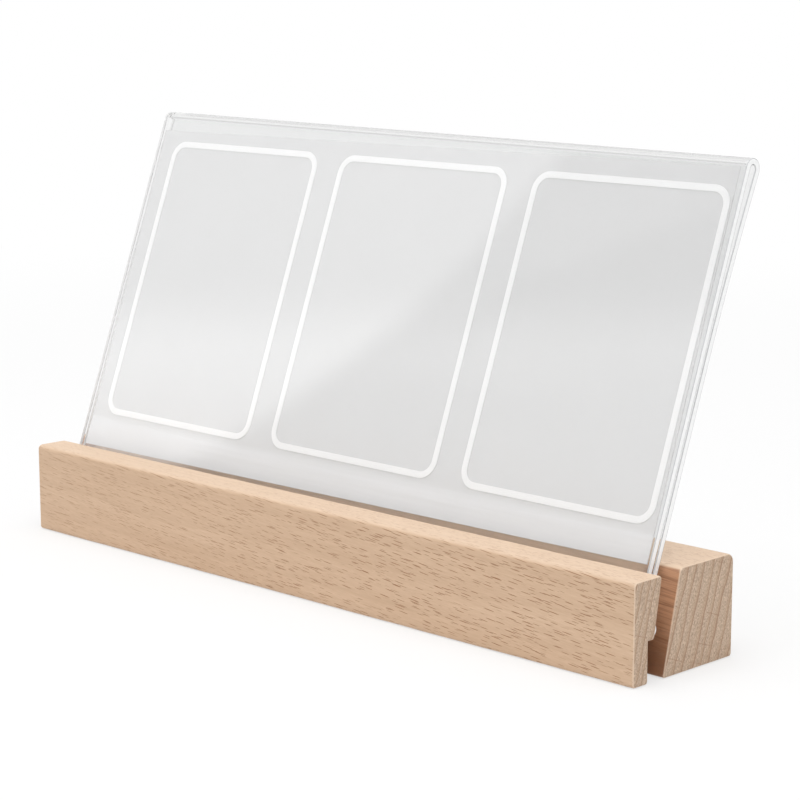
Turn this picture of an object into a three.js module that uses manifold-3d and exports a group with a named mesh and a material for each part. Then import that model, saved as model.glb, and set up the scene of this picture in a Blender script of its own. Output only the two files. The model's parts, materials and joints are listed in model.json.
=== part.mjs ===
import * as THREE from 'three';
import { mergeVertices } from 'three/addons/utils/BufferGeometryUtils.js';
import Module from 'manifold-3d';

// Light-up photo frame: a folded acrylic sheet for three photo cards leans back in a slanted
// slot between two beech rails and stands on a clear rod that is lit from below.
// Millimetres, +X along the rails, +Y towards the back, +Z up.

const degrees = THREE.MathUtils.degToRad;

// Photo cards and the folded acrylic sheet that holds them
const CARD_COUNT = 3;
const CARD_WIDTH = 54;
const CARD_SIDE_MARGIN = 0.3;
const HOLDER_HEIGHT = 85.8;
const HOLDER_LEAN = degrees(20.4);
const SHEET_THICKNESS = 1.3;
const FOLD_GAP = 1.6;
const FOLD_FALL = degrees(0.45);
const PARTING_HEIGHT = 46;
const LEAF_STEPS = 16;

// White outlines printed on the back of the front leaf
const WINDOW_WIDTH = 46;
const WINDOW_HEIGHT = 62;
const WINDOW_FOOT = 16.8;
const WINDOW_ROUND = 3.3;
const PRINT_SHIFT = 1.35;
const LINE_WIDTH = 1.35;
const INK_THICKNESS = 0.05;
const INK_LIFT = 0.02;

// Milky sheet between the leaves, sitting a little crooked
const DIFFUSER_THICKNESS = 0.15;
const DIFFUSER_SIDE_MARGIN = 1.2;
const DIFFUSER_FOOT = 8.3;
const DIFFUSER_HEAD_ROOM = 2;
const DIFFUSER_TILT = degrees(0.5);
const SLIDE_GAP = 0.03;

// Beech rails, the rear one a little higher
const END_OVERHANG = 3.85;
const BASE_DEPTH = 28.4;
const FRONT_RAIL_HEIGHT = 19.1;
const REAR_RAIL_HEIGHT = 19.5;
const RAIL_END_ARRIS = 0.35;
const ARRIS_STEPS = 2;
const FOOT_ROUND = 0.6;
const FRONT_RAIL_FOOT = 4;
const FRONT_RAIL_NOSE = 5.7;
const REBATE_HEIGHT = 7.8;
const NOSE_ROUND = 0.7;
const FRONT_WALL_LEAN = degrees(9.4);
const FRONT_EDGE_ROUND = 1;
const INNER_EDGE_ROUND = 0.6;
const SLOT_LEAN = degrees(12.9);
const SLOT_EDGE_ROUND = 1.2;
const BACK_EDGE_ROUND = 1.8;

// Batten that ties the rails, and the light on it
const GLUE_LINE = 0.1;
const BATTEN_RECESS = 10;
const BATTEN_LIFT = 0.5;
const GROOVE_DEPTH = 2.6;
const GROOVE_LAND = 0.3;
const ROD_DIAMETER = 3;
const ROD_RECESS = 2;
const ROD_NOSE_GAP = 0.2;
const ROD_END_ROUND = 0.4;
const ROD_SIDES = 24;
const STRIP_RECESS = 2.5;
const STRIP_SIDE_GAP = 0.2;
const STRIP_THICKNESS = 0.25;
const LED_PITCH = 12;
const LED_LENGTH = 1.6;
const LED_WIDTH = 1.2;
const LED_HEIGHT = 0.8;

// Clearances of the seats
const SEAT_GAP = 0.1;
const HOLDER_REST_GAP = 0.3;
const HOLDER_FOOT_SHIFT = 0.3;
const HOLDER_SIDE_SHIFT = -0.7;

// Control board in its pocket under the rear rail
const POCKET_FROM_LEADS = 8;
const BACK_WALL = 2.5;
const POCKET_HEAD_ROOM = 6.4;
const BOARD_LENGTH = 49;
const BOARD_WIDTH = 10.2;
const BOARD_THICKNESS = 1.2;
const BOARD_CLEARANCE = 0.5;
const BOARD_LEDGE = 4.5;
const BOARD_BELOW_LEADS = 1.3;
const CHIP_LENGTH = 5;
const CHIP_WIDTH = 4;
const CHIP_HEIGHT = 1.4;
const CHIP_SETBACK = 3.4;

// Power inlet
const USB_FROM_POCKET = -8;
const USB_WIDTH = 8.94;
const USB_HEIGHT = 3.26;
const USB_LENGTH = 7.35;
const USB_ROUND = 1.25;
const USB_WALL = 0.3;
const USB_BACK_WALL = 0.8;
const USB_MOUTH_INSET = 0.4;
const USB_HOLE_CLEARANCE = 0.3;
const USB_TONGUE_WIDTH = 6.7;
const USB_TONGUE_HEIGHT = 0.7;
const USB_TONGUE_LENGTH = 4.5;

// Switch and its push button
const SWITCH_FROM_POCKET = 8;
const SWITCH_WIDTH = 6;
const SWITCH_LENGTH = 4.4;
const SWITCH_HEIGHT = 4.3;
const SWITCH_SETBACK = 0.2;
const BUTTON_STROKE = 0.7;
const BUTTON_RADIUS = 2.5;
const BUTTON_PROUD = 0.6;
const BUTTON_RIM_ROUND = 0.4;
const BUTTON_CLEARANCE = 0.25;
const BUTTON_FLANGE_WIDTH = 0.6;
const BUTTON_FLANGE_THICKNESS = 0.55;
const BUTTON_FLANGE_GAP = 0.2;
const BUTTON_END_GAP = 0.3;
const STEM_RADIUS = 1.2;
const STEM_REACH = 0.8;
const BUTTON_SIDES = 32;

// Pocket cover and the screws
const COVER_THICKNESS = 1.4;
const COVER_INSET = 0.25;
const COVER_CLEARANCE = 0.15;
const COVER_ROUND = 1.5;
const COVER_FLANGE = 5;
const COVER_LIP = 0.9;
const SCREW_SHANK_RADIUS = 0.9;
const SCREW_HOLE_CLEARANCE = 0.2;
const SCREW_HEAD_RADIUS = 1.9;
const SCREW_TIP = 1.4;
const PAN_HEAD_HEIGHT = 1.1;
const CONE_HEAD_HEIGHT = 1;
const BOARD_SCREW_LENGTH = 6;
const COVER_SCREW_LENGTH = 7;
const DRIVE_SLOT_WIDTH = 0.5;
const DRIVE_SLOT_LENGTH = 2.2;
const DRIVE_SLOT_DEPTH = 0.6;
const SCREW_SIDES = 16;

// Leads from the light strip to the control board
const LEAD_AFTER_CHIPS = 2;
const LEAD_RADIUS = 0.5;
const LEAD_SPACING = 1.4;
const LEAD_HOLE_RADIUS = 1.7;
const LEAD_RISE = 1.75;
const LEAD_SIDES = 8;
const LEAD_STEPS = 24;
const LEAD_BOARD_INSET = 1.5;
const LEAD_STRIP_OFFSET = 0.45;
const LEAD_BEND = 0.9;

const ARC_STEPS = 8;
const BORE_STEPS = 10;
const CUT_OVERRUN = 1;

// Places worked out from the sizes above
const holderWidth = CARD_COUNT * CARD_WIDTH + 2 * CARD_SIDE_MARGIN;
const cardGap = DIFFUSER_THICKNESS + 2 * (INK_LIFT + INK_THICKNESS + SLIDE_GAP);
const holderThickness = 2 * SHEET_THICKNESS + cardGap;
const baseLength = holderWidth + 2 * END_OVERHANG;

const battenTop = REBATE_HEIGHT - GLUE_LINE;
const grooveWidth = ROD_DIAMETER - 2 * GROOVE_LAND;
const grooveFloor = battenTop - GROOVE_DEPTH;
const stripTop = grooveFloor + SEAT_GAP + STRIP_THICKNESS;
const stripEndInset = BATTEN_RECESS + STRIP_RECESS;
const stripStart = stripEndInset - baseLength / 2;
const chipCount = Math.floor((baseLength - 2 * stripEndInset) / LED_PITCH);
const stripLength = chipCount * LED_PITCH;
const rodRadius = ROD_DIAMETER / 2;
const rodY = FRONT_RAIL_NOSE + ROD_NOSE_GAP + rodRadius;
const rodZ = battenTop + Math.sqrt(rodRadius ** 2 - (grooveWidth / 2) ** 2) + SEAT_GAP;

const leanSin = Math.sin(HOLDER_LEAN);
const leanCos = Math.cos(HOLDER_LEAN);
const footRise = rodRadius + HOLDER_REST_GAP;
const holderY = rodY + leanSin * footRise - leanCos * HOLDER_FOOT_SHIFT;
const holderZ = rodZ + leanCos * footRise + leanSin * HOLDER_FOOT_SHIFT;

const slotEdgeZ = REAR_RAIL_HEIGHT - SLOT_EDGE_ROUND;
const slotEdgeOffset = holderThickness / 2 - HOLDER_FOOT_SHIFT + HOLDER_REST_GAP + SLOT_EDGE_ROUND;
const slotEdgeY = rodY + (slotEdgeOffset + leanSin * (slotEdgeZ - rodZ)) / leanCos;
const slotFoot = slotEdgeY - SLOT_EDGE_ROUND / Math.cos(SLOT_LEAN) - slotEdgeZ * Math.tan(SLOT_LEAN);
const slotWallAt = (height) => slotFoot + height * Math.tan(SLOT_LEAN);

const leadX = stripStart + LEAD_AFTER_CHIPS * LED_PITCH;
const leadHeight = grooveFloor + LEAD_RISE;
const pocketX = leadX + POCKET_FROM_LEADS;
const boardSeat = leadHeight - BOARD_BELOW_LEADS;
const boardTop = boardSeat - SEAT_GAP;
const pocketTop = boardTop + POCKET_HEAD_ROOM;
const pocketBack = BASE_DEPTH - BACK_WALL;
const flangeBack = pocketBack - BUTTON_FLANGE_GAP;
const flangeFront = flangeBack - BUTTON_FLANGE_THICKNESS;
const boardBack = flangeFront - BUTTON_STROKE - BUTTON_END_GAP;
const boardFront = boardBack - BOARD_WIDTH;
const boardMiddle = (boardFront + boardBack) / 2;
const pocketFront = boardFront - BOARD_CLEARANCE;
const pocketLength = BOARD_LENGTH + 2 * BOARD_CLEARANCE;
const pocketMiddle = (pocketFront + pocketBack) / 2;

const usbX = pocketX + USB_FROM_POCKET;
const usbMouth = BASE_DEPTH - USB_MOUTH_INSET;
const usbZ = boardTop + SEAT_GAP + USB_HEIGHT / 2;
const switchX = pocketX + SWITCH_FROM_POCKET;
const switchBack = boardBack - SWITCH_SETBACK;
const buttonZ = boardTop + SEAT_GAP + SWITCH_HEIGHT / 2;
const boardScrewSpan = BOARD_LENGTH - BOARD_LEDGE;
const coverScrewSpan = pocketLength + COVER_FLANGE;

// Solids: closed meshes that can be joined and cut
const wasm = await Module();
wasm.setup();

function solidOf(geometry) {
  const bare = geometry.clone();
  bare.deleteAttribute('normal');
  bare.deleteAttribute('uv');
  const merged = mergeVertices(bare);
  const corners = merged.index.array;
  const triVerts = [];
  for (let i = 0; i < corners.length; i += 3) {
    const [a, b, c] = corners.slice(i, i + 3);
    if (a !== b && b !== c && c !== a) triVerts.push(a, b, c);
  }
  return new wasm.Manifold(new wasm.Mesh({
    numProp: 3,
    vertProperties: merged.attributes.position.array,
    triVerts: new Uint32Array(triVerts),
  }));
}

function geometryOf(manifold) {
  const mesh = manifold.getMesh();
  const geometry = new THREE.BufferGeometry();
  geometry.setAttribute('position', new THREE.BufferAttribute(mesh.vertProperties, 3));
  geometry.setIndex(new THREE.BufferAttribute(mesh.triVerts, 1));
  geometry.computeVertexNormals();
  return geometry;
}

function cut(geometry, ...tools) {
  const left = tools.reduce((body, tool) => body.subtract(solidOf(tool)), solidOf(geometry));
  return geometryOf(left);
}

// Closed outline through corners given anticlockwise as [across, up, rounding radius]
function roundedOutline(corners, outline = new THREE.Shape()) {
  corners.forEach(([across, up, radius], index) => {
    const corner = new THREE.Vector2(across, up);
    const [beforeX, beforeY] = corners.at(index - 1);
    const [afterX, afterY] = corners[(index + 1) % corners.length];
    const back = new THREE.Vector2(beforeX, beforeY).sub(corner).normalize();
    const ahead = new THREE.Vector2(afterX, afterY).sub(corner).normalize();
    if (radius === 0) {
      if (outline.curves.length === 0 && index === 0) outline.moveTo(across, up);
      else outline.lineTo(across, up);
      return;
    }
    const half = Math.acos(THREE.MathUtils.clamp(back.dot(ahead), -1, 1)) / 2;
    const centre = back.clone().add(ahead).setLength(radius / Math.sin(half)).add(corner);
    const start = back.clone().multiplyScalar(radius / Math.tan(half)).add(corner).sub(centre);
    const end = ahead.clone().multiplyScalar(radius / Math.tan(half)).add(corner).sub(centre);
    const turnsRight = ahead.cross(back) < 0;
    outline.absarc(centre.x, centre.y, radius, start.angle(), end.angle(), turnsRight);
  });
  outline.closePath();
  return outline;
}

function roundedRectangle(width, height, radius, outline) {
  const right = width / 2;
  const top = height / 2;
  return roundedOutline([
    [-right, -top, radius],
    [right, -top, radius],
    [right, top, radius],
    [-right, top, radius],
  ], outline);
}

const X_AXIS = new THREE.Vector3(1, 0, 0);
const Y_AXIS = new THREE.Vector3(0, 1, 0);
const Z_AXIS = new THREE.Vector3(0, 0, 1);

// Bar along X, centred on x = 0, with its outline drawn across Y and up Z
function barAlongX(outline, length, arris = 0) {
  const depth = length - 2 * arris;
  const geometry = new THREE.ExtrudeGeometry(outline, {
    depth,
    curveSegments: ARC_STEPS,
    bevelEnabled: arris > 0,
    bevelThickness: arris,
    bevelSize: arris,
    bevelOffset: -arris,
    bevelSegments: ARRIS_STEPS,
  });
  geometry.translate(0, 0, -depth / 2);
  return geometry.applyMatrix4(new THREE.Matrix4().makeBasis(Y_AXIS, Z_AXIS, X_AXIS));
}

// Plate that starts at y = back and runs forward, with its outline drawn across X and up Z
function plateFromBack(outline, thickness, back) {
  const settings = { depth: thickness, bevelEnabled: false, curveSegments: ARC_STEPS };
  const geometry = new THREE.ExtrudeGeometry(outline, settings);
  geometry.applyMatrix4(new THREE.Matrix4().makeBasis(X_AXIS, Z_AXIS, Y_AXIS.clone().negate()));
  return geometry.translate(0, back, 0);
}

// Flat plate from z = bottom upwards, with its outline drawn across X and Y
function plateUp(outline, thickness, bottom) {
  const settings = { depth: thickness, bevelEnabled: false, curveSegments: BORE_STEPS };
  return new THREE.ExtrudeGeometry(outline, settings).translate(0, 0, bottom);
}

function block(lowX, highX, lowY, highY, lowZ, highZ) {
  const geometry = new THREE.BoxGeometry(highX - lowX, highY - lowY, highZ - lowZ);
  return geometry.translate((lowX + highX) / 2, (lowY + highY) / 2, (lowZ + highZ) / 2);
}

// Round solid about the Z axis from a profile of [radius, height] that starts and ends on the axis
function turnedUp(profile, sides) {
  const points = profile.map(([radius, height]) => new THREE.Vector2(radius, height));
  return new THREE.LatheGeometry(points, sides).rotateX(Math.PI / 2);
}

function boreUp(radius, x, y, bottom, top) {
  return turnedUp([[0, bottom], [radius, bottom], [radius, top], [0, top]], SCREW_SIDES).translate(x, y, 0);
}

function finish(color, roughness, metalness = 0) {
  return new THREE.MeshStandardMaterial({ color, roughness, metalness });
}

const beech = () => finish(0xd8b795, 0.6);
const clearAcrylic = () => {
  const material = finish(0xf2f6f7, 0.06);
  material.transparent = true;
  material.opacity = 0.35;
  return material;
};
const whiteInk = () => finish(0xfbfbfb, 0.45);
const milkyFilm = () => finish(0xe4e6e8, 0.5);
const steel = () => finish(0xb9bcc0, 0.35, 1);
const darkPlastic = () => finish(0x26272a, 0.5);
const whitePlastic = () => finish(0xf0eee8, 0.45);
const boardGreen = () => finish(0x2f6b4a, 0.55);

const pieces = (group, list) => list.forEach(([name, geometry, material]) => {
  const mesh = new THREE.Mesh(geometry, material);
  mesh.name = name;
  group.add(mesh);
});

// Narrow front rail: its back face leans with the slot down to a nose over the rebate
function frontRail() {
  const topDepth = FRONT_RAIL_NOSE + (FRONT_RAIL_HEIGHT - REBATE_HEIGHT) * Math.tan(FRONT_WALL_LEAN);
  const section = roundedOutline([
    [0, 0, FOOT_ROUND],
    [FRONT_RAIL_FOOT, 0, FOOT_ROUND],
    [FRONT_RAIL_FOOT, REBATE_HEIGHT, 0],
    [FRONT_RAIL_NOSE, REBATE_HEIGHT, NOSE_ROUND],
    [topDepth, FRONT_RAIL_HEIGHT, INNER_EDGE_ROUND],
    [0, FRONT_RAIL_HEIGHT, FRONT_EDGE_ROUND],
  ]);
  return barAlongX(section, baseLength, RAIL_END_ARRIS);
}

// Wide rear rail, with the pocket, the lead hole and the openings in its back wall
function rearRail() {
  const section = roundedOutline([
    [slotFoot, 0, FOOT_ROUND],
    [BASE_DEPTH, 0, FOOT_ROUND],
    [BASE_DEPTH, REAR_RAIL_HEIGHT, BACK_EDGE_ROUND],
    [slotWallAt(REAR_RAIL_HEIGHT), REAR_RAIL_HEIGHT, SLOT_EDGE_ROUND],
  ]);
  const half = pocketLength / 2;
  const innerHalf = BOARD_LENGTH / 2 - BOARD_LEDGE;
  const recessTop = COVER_INSET + COVER_THICKNESS + SEAT_GAP;
  const recess = plateUp(coverOutline(0), recessTop + CUT_OVERRUN, -CUT_OVERRUN);
  const low = block(pocketX - half, pocketX + half, pocketFront, pocketBack, -CUT_OVERRUN, boardSeat);
  const high = block(pocketX - innerHalf, pocketX + innerHalf, pocketFront, pocketBack, 0, pocketTop);
  const holeRadius = SCREW_SHANK_RADIUS + SCREW_HOLE_CLEARANCE;
  const boardHoles = [-1, 1].map((side) => boreUp(
    holeRadius, pocketX + side * boardScrewSpan / 2, boardMiddle,
    boardSeat - CUT_OVERRUN, boardTop + BOARD_SCREW_LENGTH,
  ));
  const coverHoles = [-1, 1].map((side) => boreUp(
    holeRadius, pocketX + side * coverScrewSpan / 2, pocketMiddle,
    recessTop - CUT_OVERRUN, COVER_INSET + COVER_SCREW_LENGTH + SEAT_GAP,
  ));
  const usbWidth = USB_WIDTH + 2 * USB_HOLE_CLEARANCE;
  const usbHeight = USB_HEIGHT + 2 * USB_HOLE_CLEARANCE;
  const usbOutline = roundedRectangle(usbWidth, usbHeight, USB_ROUND + USB_HOLE_CLEARANCE);
  const wallReach = BACK_WALL + 2 * CUT_OVERRUN;
  const usbHole = plateFromBack(usbOutline, wallReach, BASE_DEPTH + CUT_OVERRUN).translate(usbX, 0, usbZ);
  const buttonHole = new THREE.CylinderGeometry(
    BUTTON_RADIUS + BUTTON_CLEARANCE, BUTTON_RADIUS + BUTTON_CLEARANCE, wallReach, BUTTON_SIDES,
  ).translate(switchX, BASE_DEPTH + CUT_OVERRUN - wallReach / 2, buttonZ);
  const leadReach = pocketFront + CUT_OVERRUN - slotFoot;
  const leadHole = new THREE.CylinderGeometry(LEAD_HOLE_RADIUS, LEAD_HOLE_RADIUS, leadReach, SCREW_SIDES)
    .translate(leadX, slotFoot + leadReach / 2, leadHeight);
  const bar = barAlongX(section, baseLength, RAIL_END_ARRIS);
  return cut(bar, recess, low, high, ...boardHoles, ...coverHoles, usbHole, buttonHole, leadHole);
}

// Beech batten glued between the rails, grooved for the light strip and notched for its leads
function slotBatten() {
  const left = FRONT_RAIL_FOOT + GLUE_LINE;
  const grooveFront = rodY - grooveWidth / 2;
  const grooveBack = rodY + grooveWidth / 2;
  const section = roundedOutline([
    [left, BATTEN_LIFT, 0],
    [slotWallAt(BATTEN_LIFT) - GLUE_LINE, BATTEN_LIFT, 0],
    [slotWallAt(battenTop) - GLUE_LINE, battenTop, 0],
    [grooveBack, battenTop, 0],
    [grooveBack, grooveFloor, 0],
    [grooveFront, grooveFloor, 0],
    [grooveFront, battenTop, 0],
    [left, battenTop, 0],
  ]);
  const notch = block(
    leadX - LEAD_HOLE_RADIUS, leadX + LEAD_HOLE_RADIUS,
    rodY, slotWallAt(battenTop) + CUT_OVERRUN,
    grooveFloor, battenTop + CUT_OVERRUN,
  );
  return cut(barAlongX(section, baseLength - 2 * BATTEN_RECESS), notch);
}

function lightRod() {
  const half = baseLength / 2 - ROD_RECESS;
  const flat = rodRadius - ROD_END_ROUND;
  const profile = [
    [0, -half], [flat, -half], [rodRadius, ROD_END_ROUND - half],
    [rodRadius, half - ROD_END_ROUND], [flat, half], [0, half],
  ];
  return turnedUp(profile, ROD_SIDES).rotateY(Math.PI / 2).translate(0, rodY, rodZ);
}

// Light strip, cut to whole pitches and laid from the left, with a chip in the middle of each pitch
function lightStrip() {
  const halfWidth = grooveWidth / 2 - STRIP_SIDE_GAP;
  const bottom = stripTop - STRIP_THICKNESS;
  return block(
    stripStart, stripStart + stripLength, rodY - halfWidth, rodY + halfWidth, bottom, stripTop,
  );
}

function lightChips() {
  const bottom = stripTop + SEAT_GAP;
  return Array.from({ length: chipCount }, (_, index) => {
    const x = stripStart + (index + 1 / 2) * LED_PITCH;
    const chip = block(
      x - LED_LENGTH / 2, x + LED_LENGTH / 2, rodY - LED_WIDTH / 2, rodY + LED_WIDTH / 2,
      bottom, bottom + LED_HEIGHT,
    );
    return [`led_${String(index + 1).padStart(2, '0')}`, chip, whitePlastic()];
  });
}

// Route along straight runs, with a bend at each corner between them
function bentRoute(corners, bend) {
  const route = new THREE.CurvePath();
  let start = corners[0];
  corners.slice(1, -1).forEach((corner, index) => {
    const ahead = corners[index + 2];
    const before = start.clone().sub(corner).setLength(bend).add(corner);
    const after = ahead.clone().sub(corner).setLength(bend).add(corner);
    route.add(new THREE.LineCurve3(start, before));
    route.add(new THREE.QuadraticBezierCurve3(before, corner, after));
    start = after;
  });
  route.add(new THREE.LineCurve3(start, corners.at(-1)));
  return route;
}

// Lead up from the control board, level through the hole in the rail and down onto the light strip
function lead(x) {
  const boardY = boardFront + LEAD_BOARD_INSET;
  const stripY = rodY + LEAD_STRIP_OFFSET;
  const corners = [
    [boardY, boardTop + SEAT_GAP],
    [boardY, leadHeight],
    [stripY, leadHeight],
    [stripY, stripTop + SEAT_GAP],
  ];
  const route = bentRoute(corners.map(([y, z]) => new THREE.Vector3(x, y, z)), LEAD_BEND);
  const section = new THREE.Shape();
  for (let side = 0; side < LEAD_SIDES; side += 1) {
    const turn = (side / LEAD_SIDES) * Math.PI * 2;
    const point = [LEAD_RADIUS * Math.cos(turn), LEAD_RADIUS * Math.sin(turn)];
    if (side === 0) section.moveTo(...point);
    else section.lineTo(...point);
  }
  section.closePath();
  return new THREE.ExtrudeGeometry(section, { steps: LEAD_STEPS, extrudePath: route, bevelEnabled: false });
}

// Board with a hole for a screw near each end, hung under the ledges of the pocket
function controlBoard() {
  const outline = new THREE.Shape();
  const half = BOARD_LENGTH / 2;
  outline.moveTo(pocketX - half, boardFront);
  outline.lineTo(pocketX + half, boardFront);
  outline.lineTo(pocketX + half, boardBack);
  outline.lineTo(pocketX - half, boardBack);
  outline.closePath();
  for (const side of [-1, 1]) {
    const hole = new THREE.Path();
    const radius = SCREW_SHANK_RADIUS + SCREW_HOLE_CLEARANCE;
    const x = pocketX + side * boardScrewSpan / 2;
    hole.absarc(x, boardMiddle, radius, 0, 2 * Math.PI, true);
    outline.holes.push(hole);
  }
  return plateUp(outline, BOARD_THICKNESS, boardTop - BOARD_THICKNESS);
}

function driverChip() {
  const middle = boardFront + CHIP_SETBACK;
  const bottom = boardTop + SEAT_GAP;
  return block(
    pocketX - CHIP_LENGTH / 2, pocketX + CHIP_LENGTH / 2,
    middle - CHIP_WIDTH / 2, middle + CHIP_WIDTH / 2, bottom, bottom + CHIP_HEIGHT,
  );
}

function usbShell() {
  const outer = plateFromBack(roundedRectangle(USB_WIDTH, USB_HEIGHT, USB_ROUND), USB_LENGTH, usbMouth);
  const innerWidth = USB_WIDTH - 2 * USB_WALL;
  const innerHeight = USB_HEIGHT - 2 * USB_WALL;
  const inner = roundedRectangle(innerWidth, innerHeight, USB_ROUND - USB_WALL);
  const reach = USB_LENGTH - USB_BACK_WALL + CUT_OVERRUN;
  return cut(outer, plateFromBack(inner, reach, usbMouth + CUT_OVERRUN)).translate(usbX, 0, usbZ);
}

function usbTongue() {
  const root = usbMouth - USB_LENGTH + USB_BACK_WALL + SEAT_GAP;
  return block(
    usbX - USB_TONGUE_WIDTH / 2, usbX + USB_TONGUE_WIDTH / 2, root, root + USB_TONGUE_LENGTH,
    usbZ - USB_TONGUE_HEIGHT / 2, usbZ + USB_TONGUE_HEIGHT / 2,
  );
}

// Switch body with a round well in its back for the stem of the button
function switchBody() {
  const bottom = boardTop + SEAT_GAP;
  const body = block(
    switchX - SWITCH_WIDTH / 2, switchX + SWITCH_WIDTH / 2, switchBack - SWITCH_LENGTH, switchBack,
    bottom, bottom + SWITCH_HEIGHT,
  );
  const wellRadius = STEM_RADIUS + BUTTON_CLEARANCE;
  const wellDepth = STEM_REACH + BUTTON_STROKE + BUTTON_END_GAP;
  const well = new THREE.CylinderGeometry(wellRadius, wellRadius, wellDepth + CUT_OVERRUN, SCREW_SIDES);
  well.translate(switchX, switchBack + (CUT_OVERRUN - wellDepth) / 2, buttonZ);
  return cut(body, well);
}

// Button turned about its own axis: stem, flange that stops it in the wall, and cap
function pushButton() {
  const face = BASE_DEPTH + BUTTON_PROUD;
  const flangeRadius = BUTTON_RADIUS + BUTTON_FLANGE_WIDTH;
  const profile = [
    [0, switchBack - STEM_REACH], [STEM_RADIUS, switchBack - STEM_REACH], [STEM_RADIUS, flangeFront],
    [flangeRadius, flangeFront], [flangeRadius, flangeBack], [BUTTON_RADIUS, flangeBack],
    [BUTTON_RADIUS, face - BUTTON_RIM_ROUND], [BUTTON_RADIUS - BUTTON_RIM_ROUND, face], [0, face],
  ];
  const points = profile.map(([radius, along]) => new THREE.Vector2(radius, along));
  return new THREE.LatheGeometry(points, BUTTON_SIDES).translate(switchX, 0, buttonZ);
}

// Outline of the cover's recess, or of the cover itself when drawn in by its clearance
function coverOutline(drawnIn) {
  const half = pocketLength / 2 + COVER_FLANGE - drawnIn;
  const front = pocketFront - COVER_LIP + drawnIn;
  const back = pocketBack + COVER_LIP - drawnIn;
  return roundedOutline([
    [pocketX - half, front, COVER_ROUND],
    [pocketX + half, front, COVER_ROUND],
    [pocketX + half, back, COVER_ROUND],
    [pocketX - half, back, COVER_ROUND],
  ]);
}

// Cone of a countersunk head, widest at the bottom
function countersink(growth) {
  const wide = SCREW_HEAD_RADIUS + growth;
  const narrow = SCREW_SHANK_RADIUS + growth;
  return [[0, -CUT_OVERRUN], [wide, -CUT_OVERRUN], [wide, 0], [narrow, CONE_HEAD_HEIGHT]];
}

function pocketCover() {
  const plate = plateUp(coverOutline(COVER_CLEARANCE), COVER_THICKNESS, COVER_INSET);
  const holes = [-1, 1].map((side) => {
    const shank = SCREW_SHANK_RADIUS + SCREW_HOLE_CLEARANCE;
    const through = COVER_THICKNESS + CUT_OVERRUN;
    const profile = [...countersink(SCREW_HOLE_CLEARANCE), [shank, through], [0, through]];
    return turnedUp(profile, SCREW_SIDES)
      .translate(pocketX + side * coverScrewSpan / 2, pocketMiddle, COVER_INSET);
  });
  return cut(plate, ...holes);
}

// Screw standing point up on its head, with a cross drive cut in from below
function screw(head, length, x, y, bottom) {
  const profile = [
    [0, 0], ...head, [SCREW_SHANK_RADIUS, length - SCREW_TIP], [0, length],
  ];
  const halfLong = DRIVE_SLOT_LENGTH / 2;
  const halfWide = DRIVE_SLOT_WIDTH / 2;
  const alongX = block(-halfLong, halfLong, -halfWide, halfWide, -CUT_OVERRUN, DRIVE_SLOT_DEPTH);
  const alongY = block(-halfWide, halfWide, -halfLong, halfLong, -CUT_OVERRUN, DRIVE_SLOT_DEPTH);
  return cut(turnedUp(profile, SCREW_SIDES), alongX, alongY).translate(x, y, bottom);
}

const panHead = [
  [SCREW_HEAD_RADIUS, 0], [SCREW_HEAD_RADIUS, PAN_HEAD_HEIGHT], [SCREW_SHANK_RADIUS, PAN_HEAD_HEIGHT],
];
const coneHead = [[SCREW_HEAD_RADIUS, 0], [SCREW_SHANK_RADIUS, CONE_HEAD_HEIGHT]];
const boardScrewFoot = boardTop - BOARD_THICKNESS - SEAT_GAP - PAN_HEAD_HEIGHT;
const boardScrewReach = PAN_HEAD_HEIGHT + BOARD_THICKNESS + BOARD_SCREW_LENGTH - 2 * SEAT_GAP;
const boardScrew = (side) => screw(
  panHead, boardScrewReach, pocketX + side * boardScrewSpan / 2, boardMiddle, boardScrewFoot,
);
const coverScrew = (side) => screw(
  coneHead, COVER_SCREW_LENGTH, pocketX + side * coverScrewSpan / 2, pocketMiddle, COVER_INSET,
);

// One sheet folded at the top, drawn across Y and up Z from the feet of the leaves. The front leaf
// is flat, and the rear leaf springs away from it towards the fold, which falls a little to the right
function acrylicHolder() {
  const inside = cardGap / 2;
  const outside = inside + SHEET_THICKNESS;
  const foldInside = FOLD_GAP / 2;
  const foldOutside = foldInside + SHEET_THICKNESS;
  const foldY = foldInside - inside;
  const foldZ = HOLDER_HEIGHT - foldOutside;
  const springZ = (PARTING_HEIGHT + foldZ) / 2;
  const section = new THREE.Shape();
  section.moveTo(-outside, 0);
  section.lineTo(-inside, 0);
  section.absarc(foldY, foldZ, foldInside, Math.PI, 0, true);
  section.quadraticCurveTo(inside, springZ, inside, PARTING_HEIGHT);
  section.lineTo(inside, 0);
  section.lineTo(outside, 0);
  section.lineTo(outside, PARTING_HEIGHT);
  section.quadraticCurveTo(outside, springZ, foldY + foldOutside, foldZ);
  section.absarc(foldY, foldZ, foldOutside, 0, Math.PI, false);
  section.closePath();
  const settings = { depth: holderWidth, bevelEnabled: false, curveSegments: LEAF_STEPS };
  const geometry = new THREE.ExtrudeGeometry(section, settings).translate(0, 0, -holderWidth / 2);
  geometry.applyMatrix4(new THREE.Matrix4().makeBasis(Y_AXIS, Z_AXIS, X_AXIS));
  const corners = geometry.attributes.position;
  for (let i = 0; i < corners.count; i += 1) {
    const stretch = 1 - corners.getX(i) * Math.tan(FOLD_FALL) / HOLDER_HEIGHT;
    corners.setZ(i, corners.getZ(i) * stretch);
  }
  return geometry;
}

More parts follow.
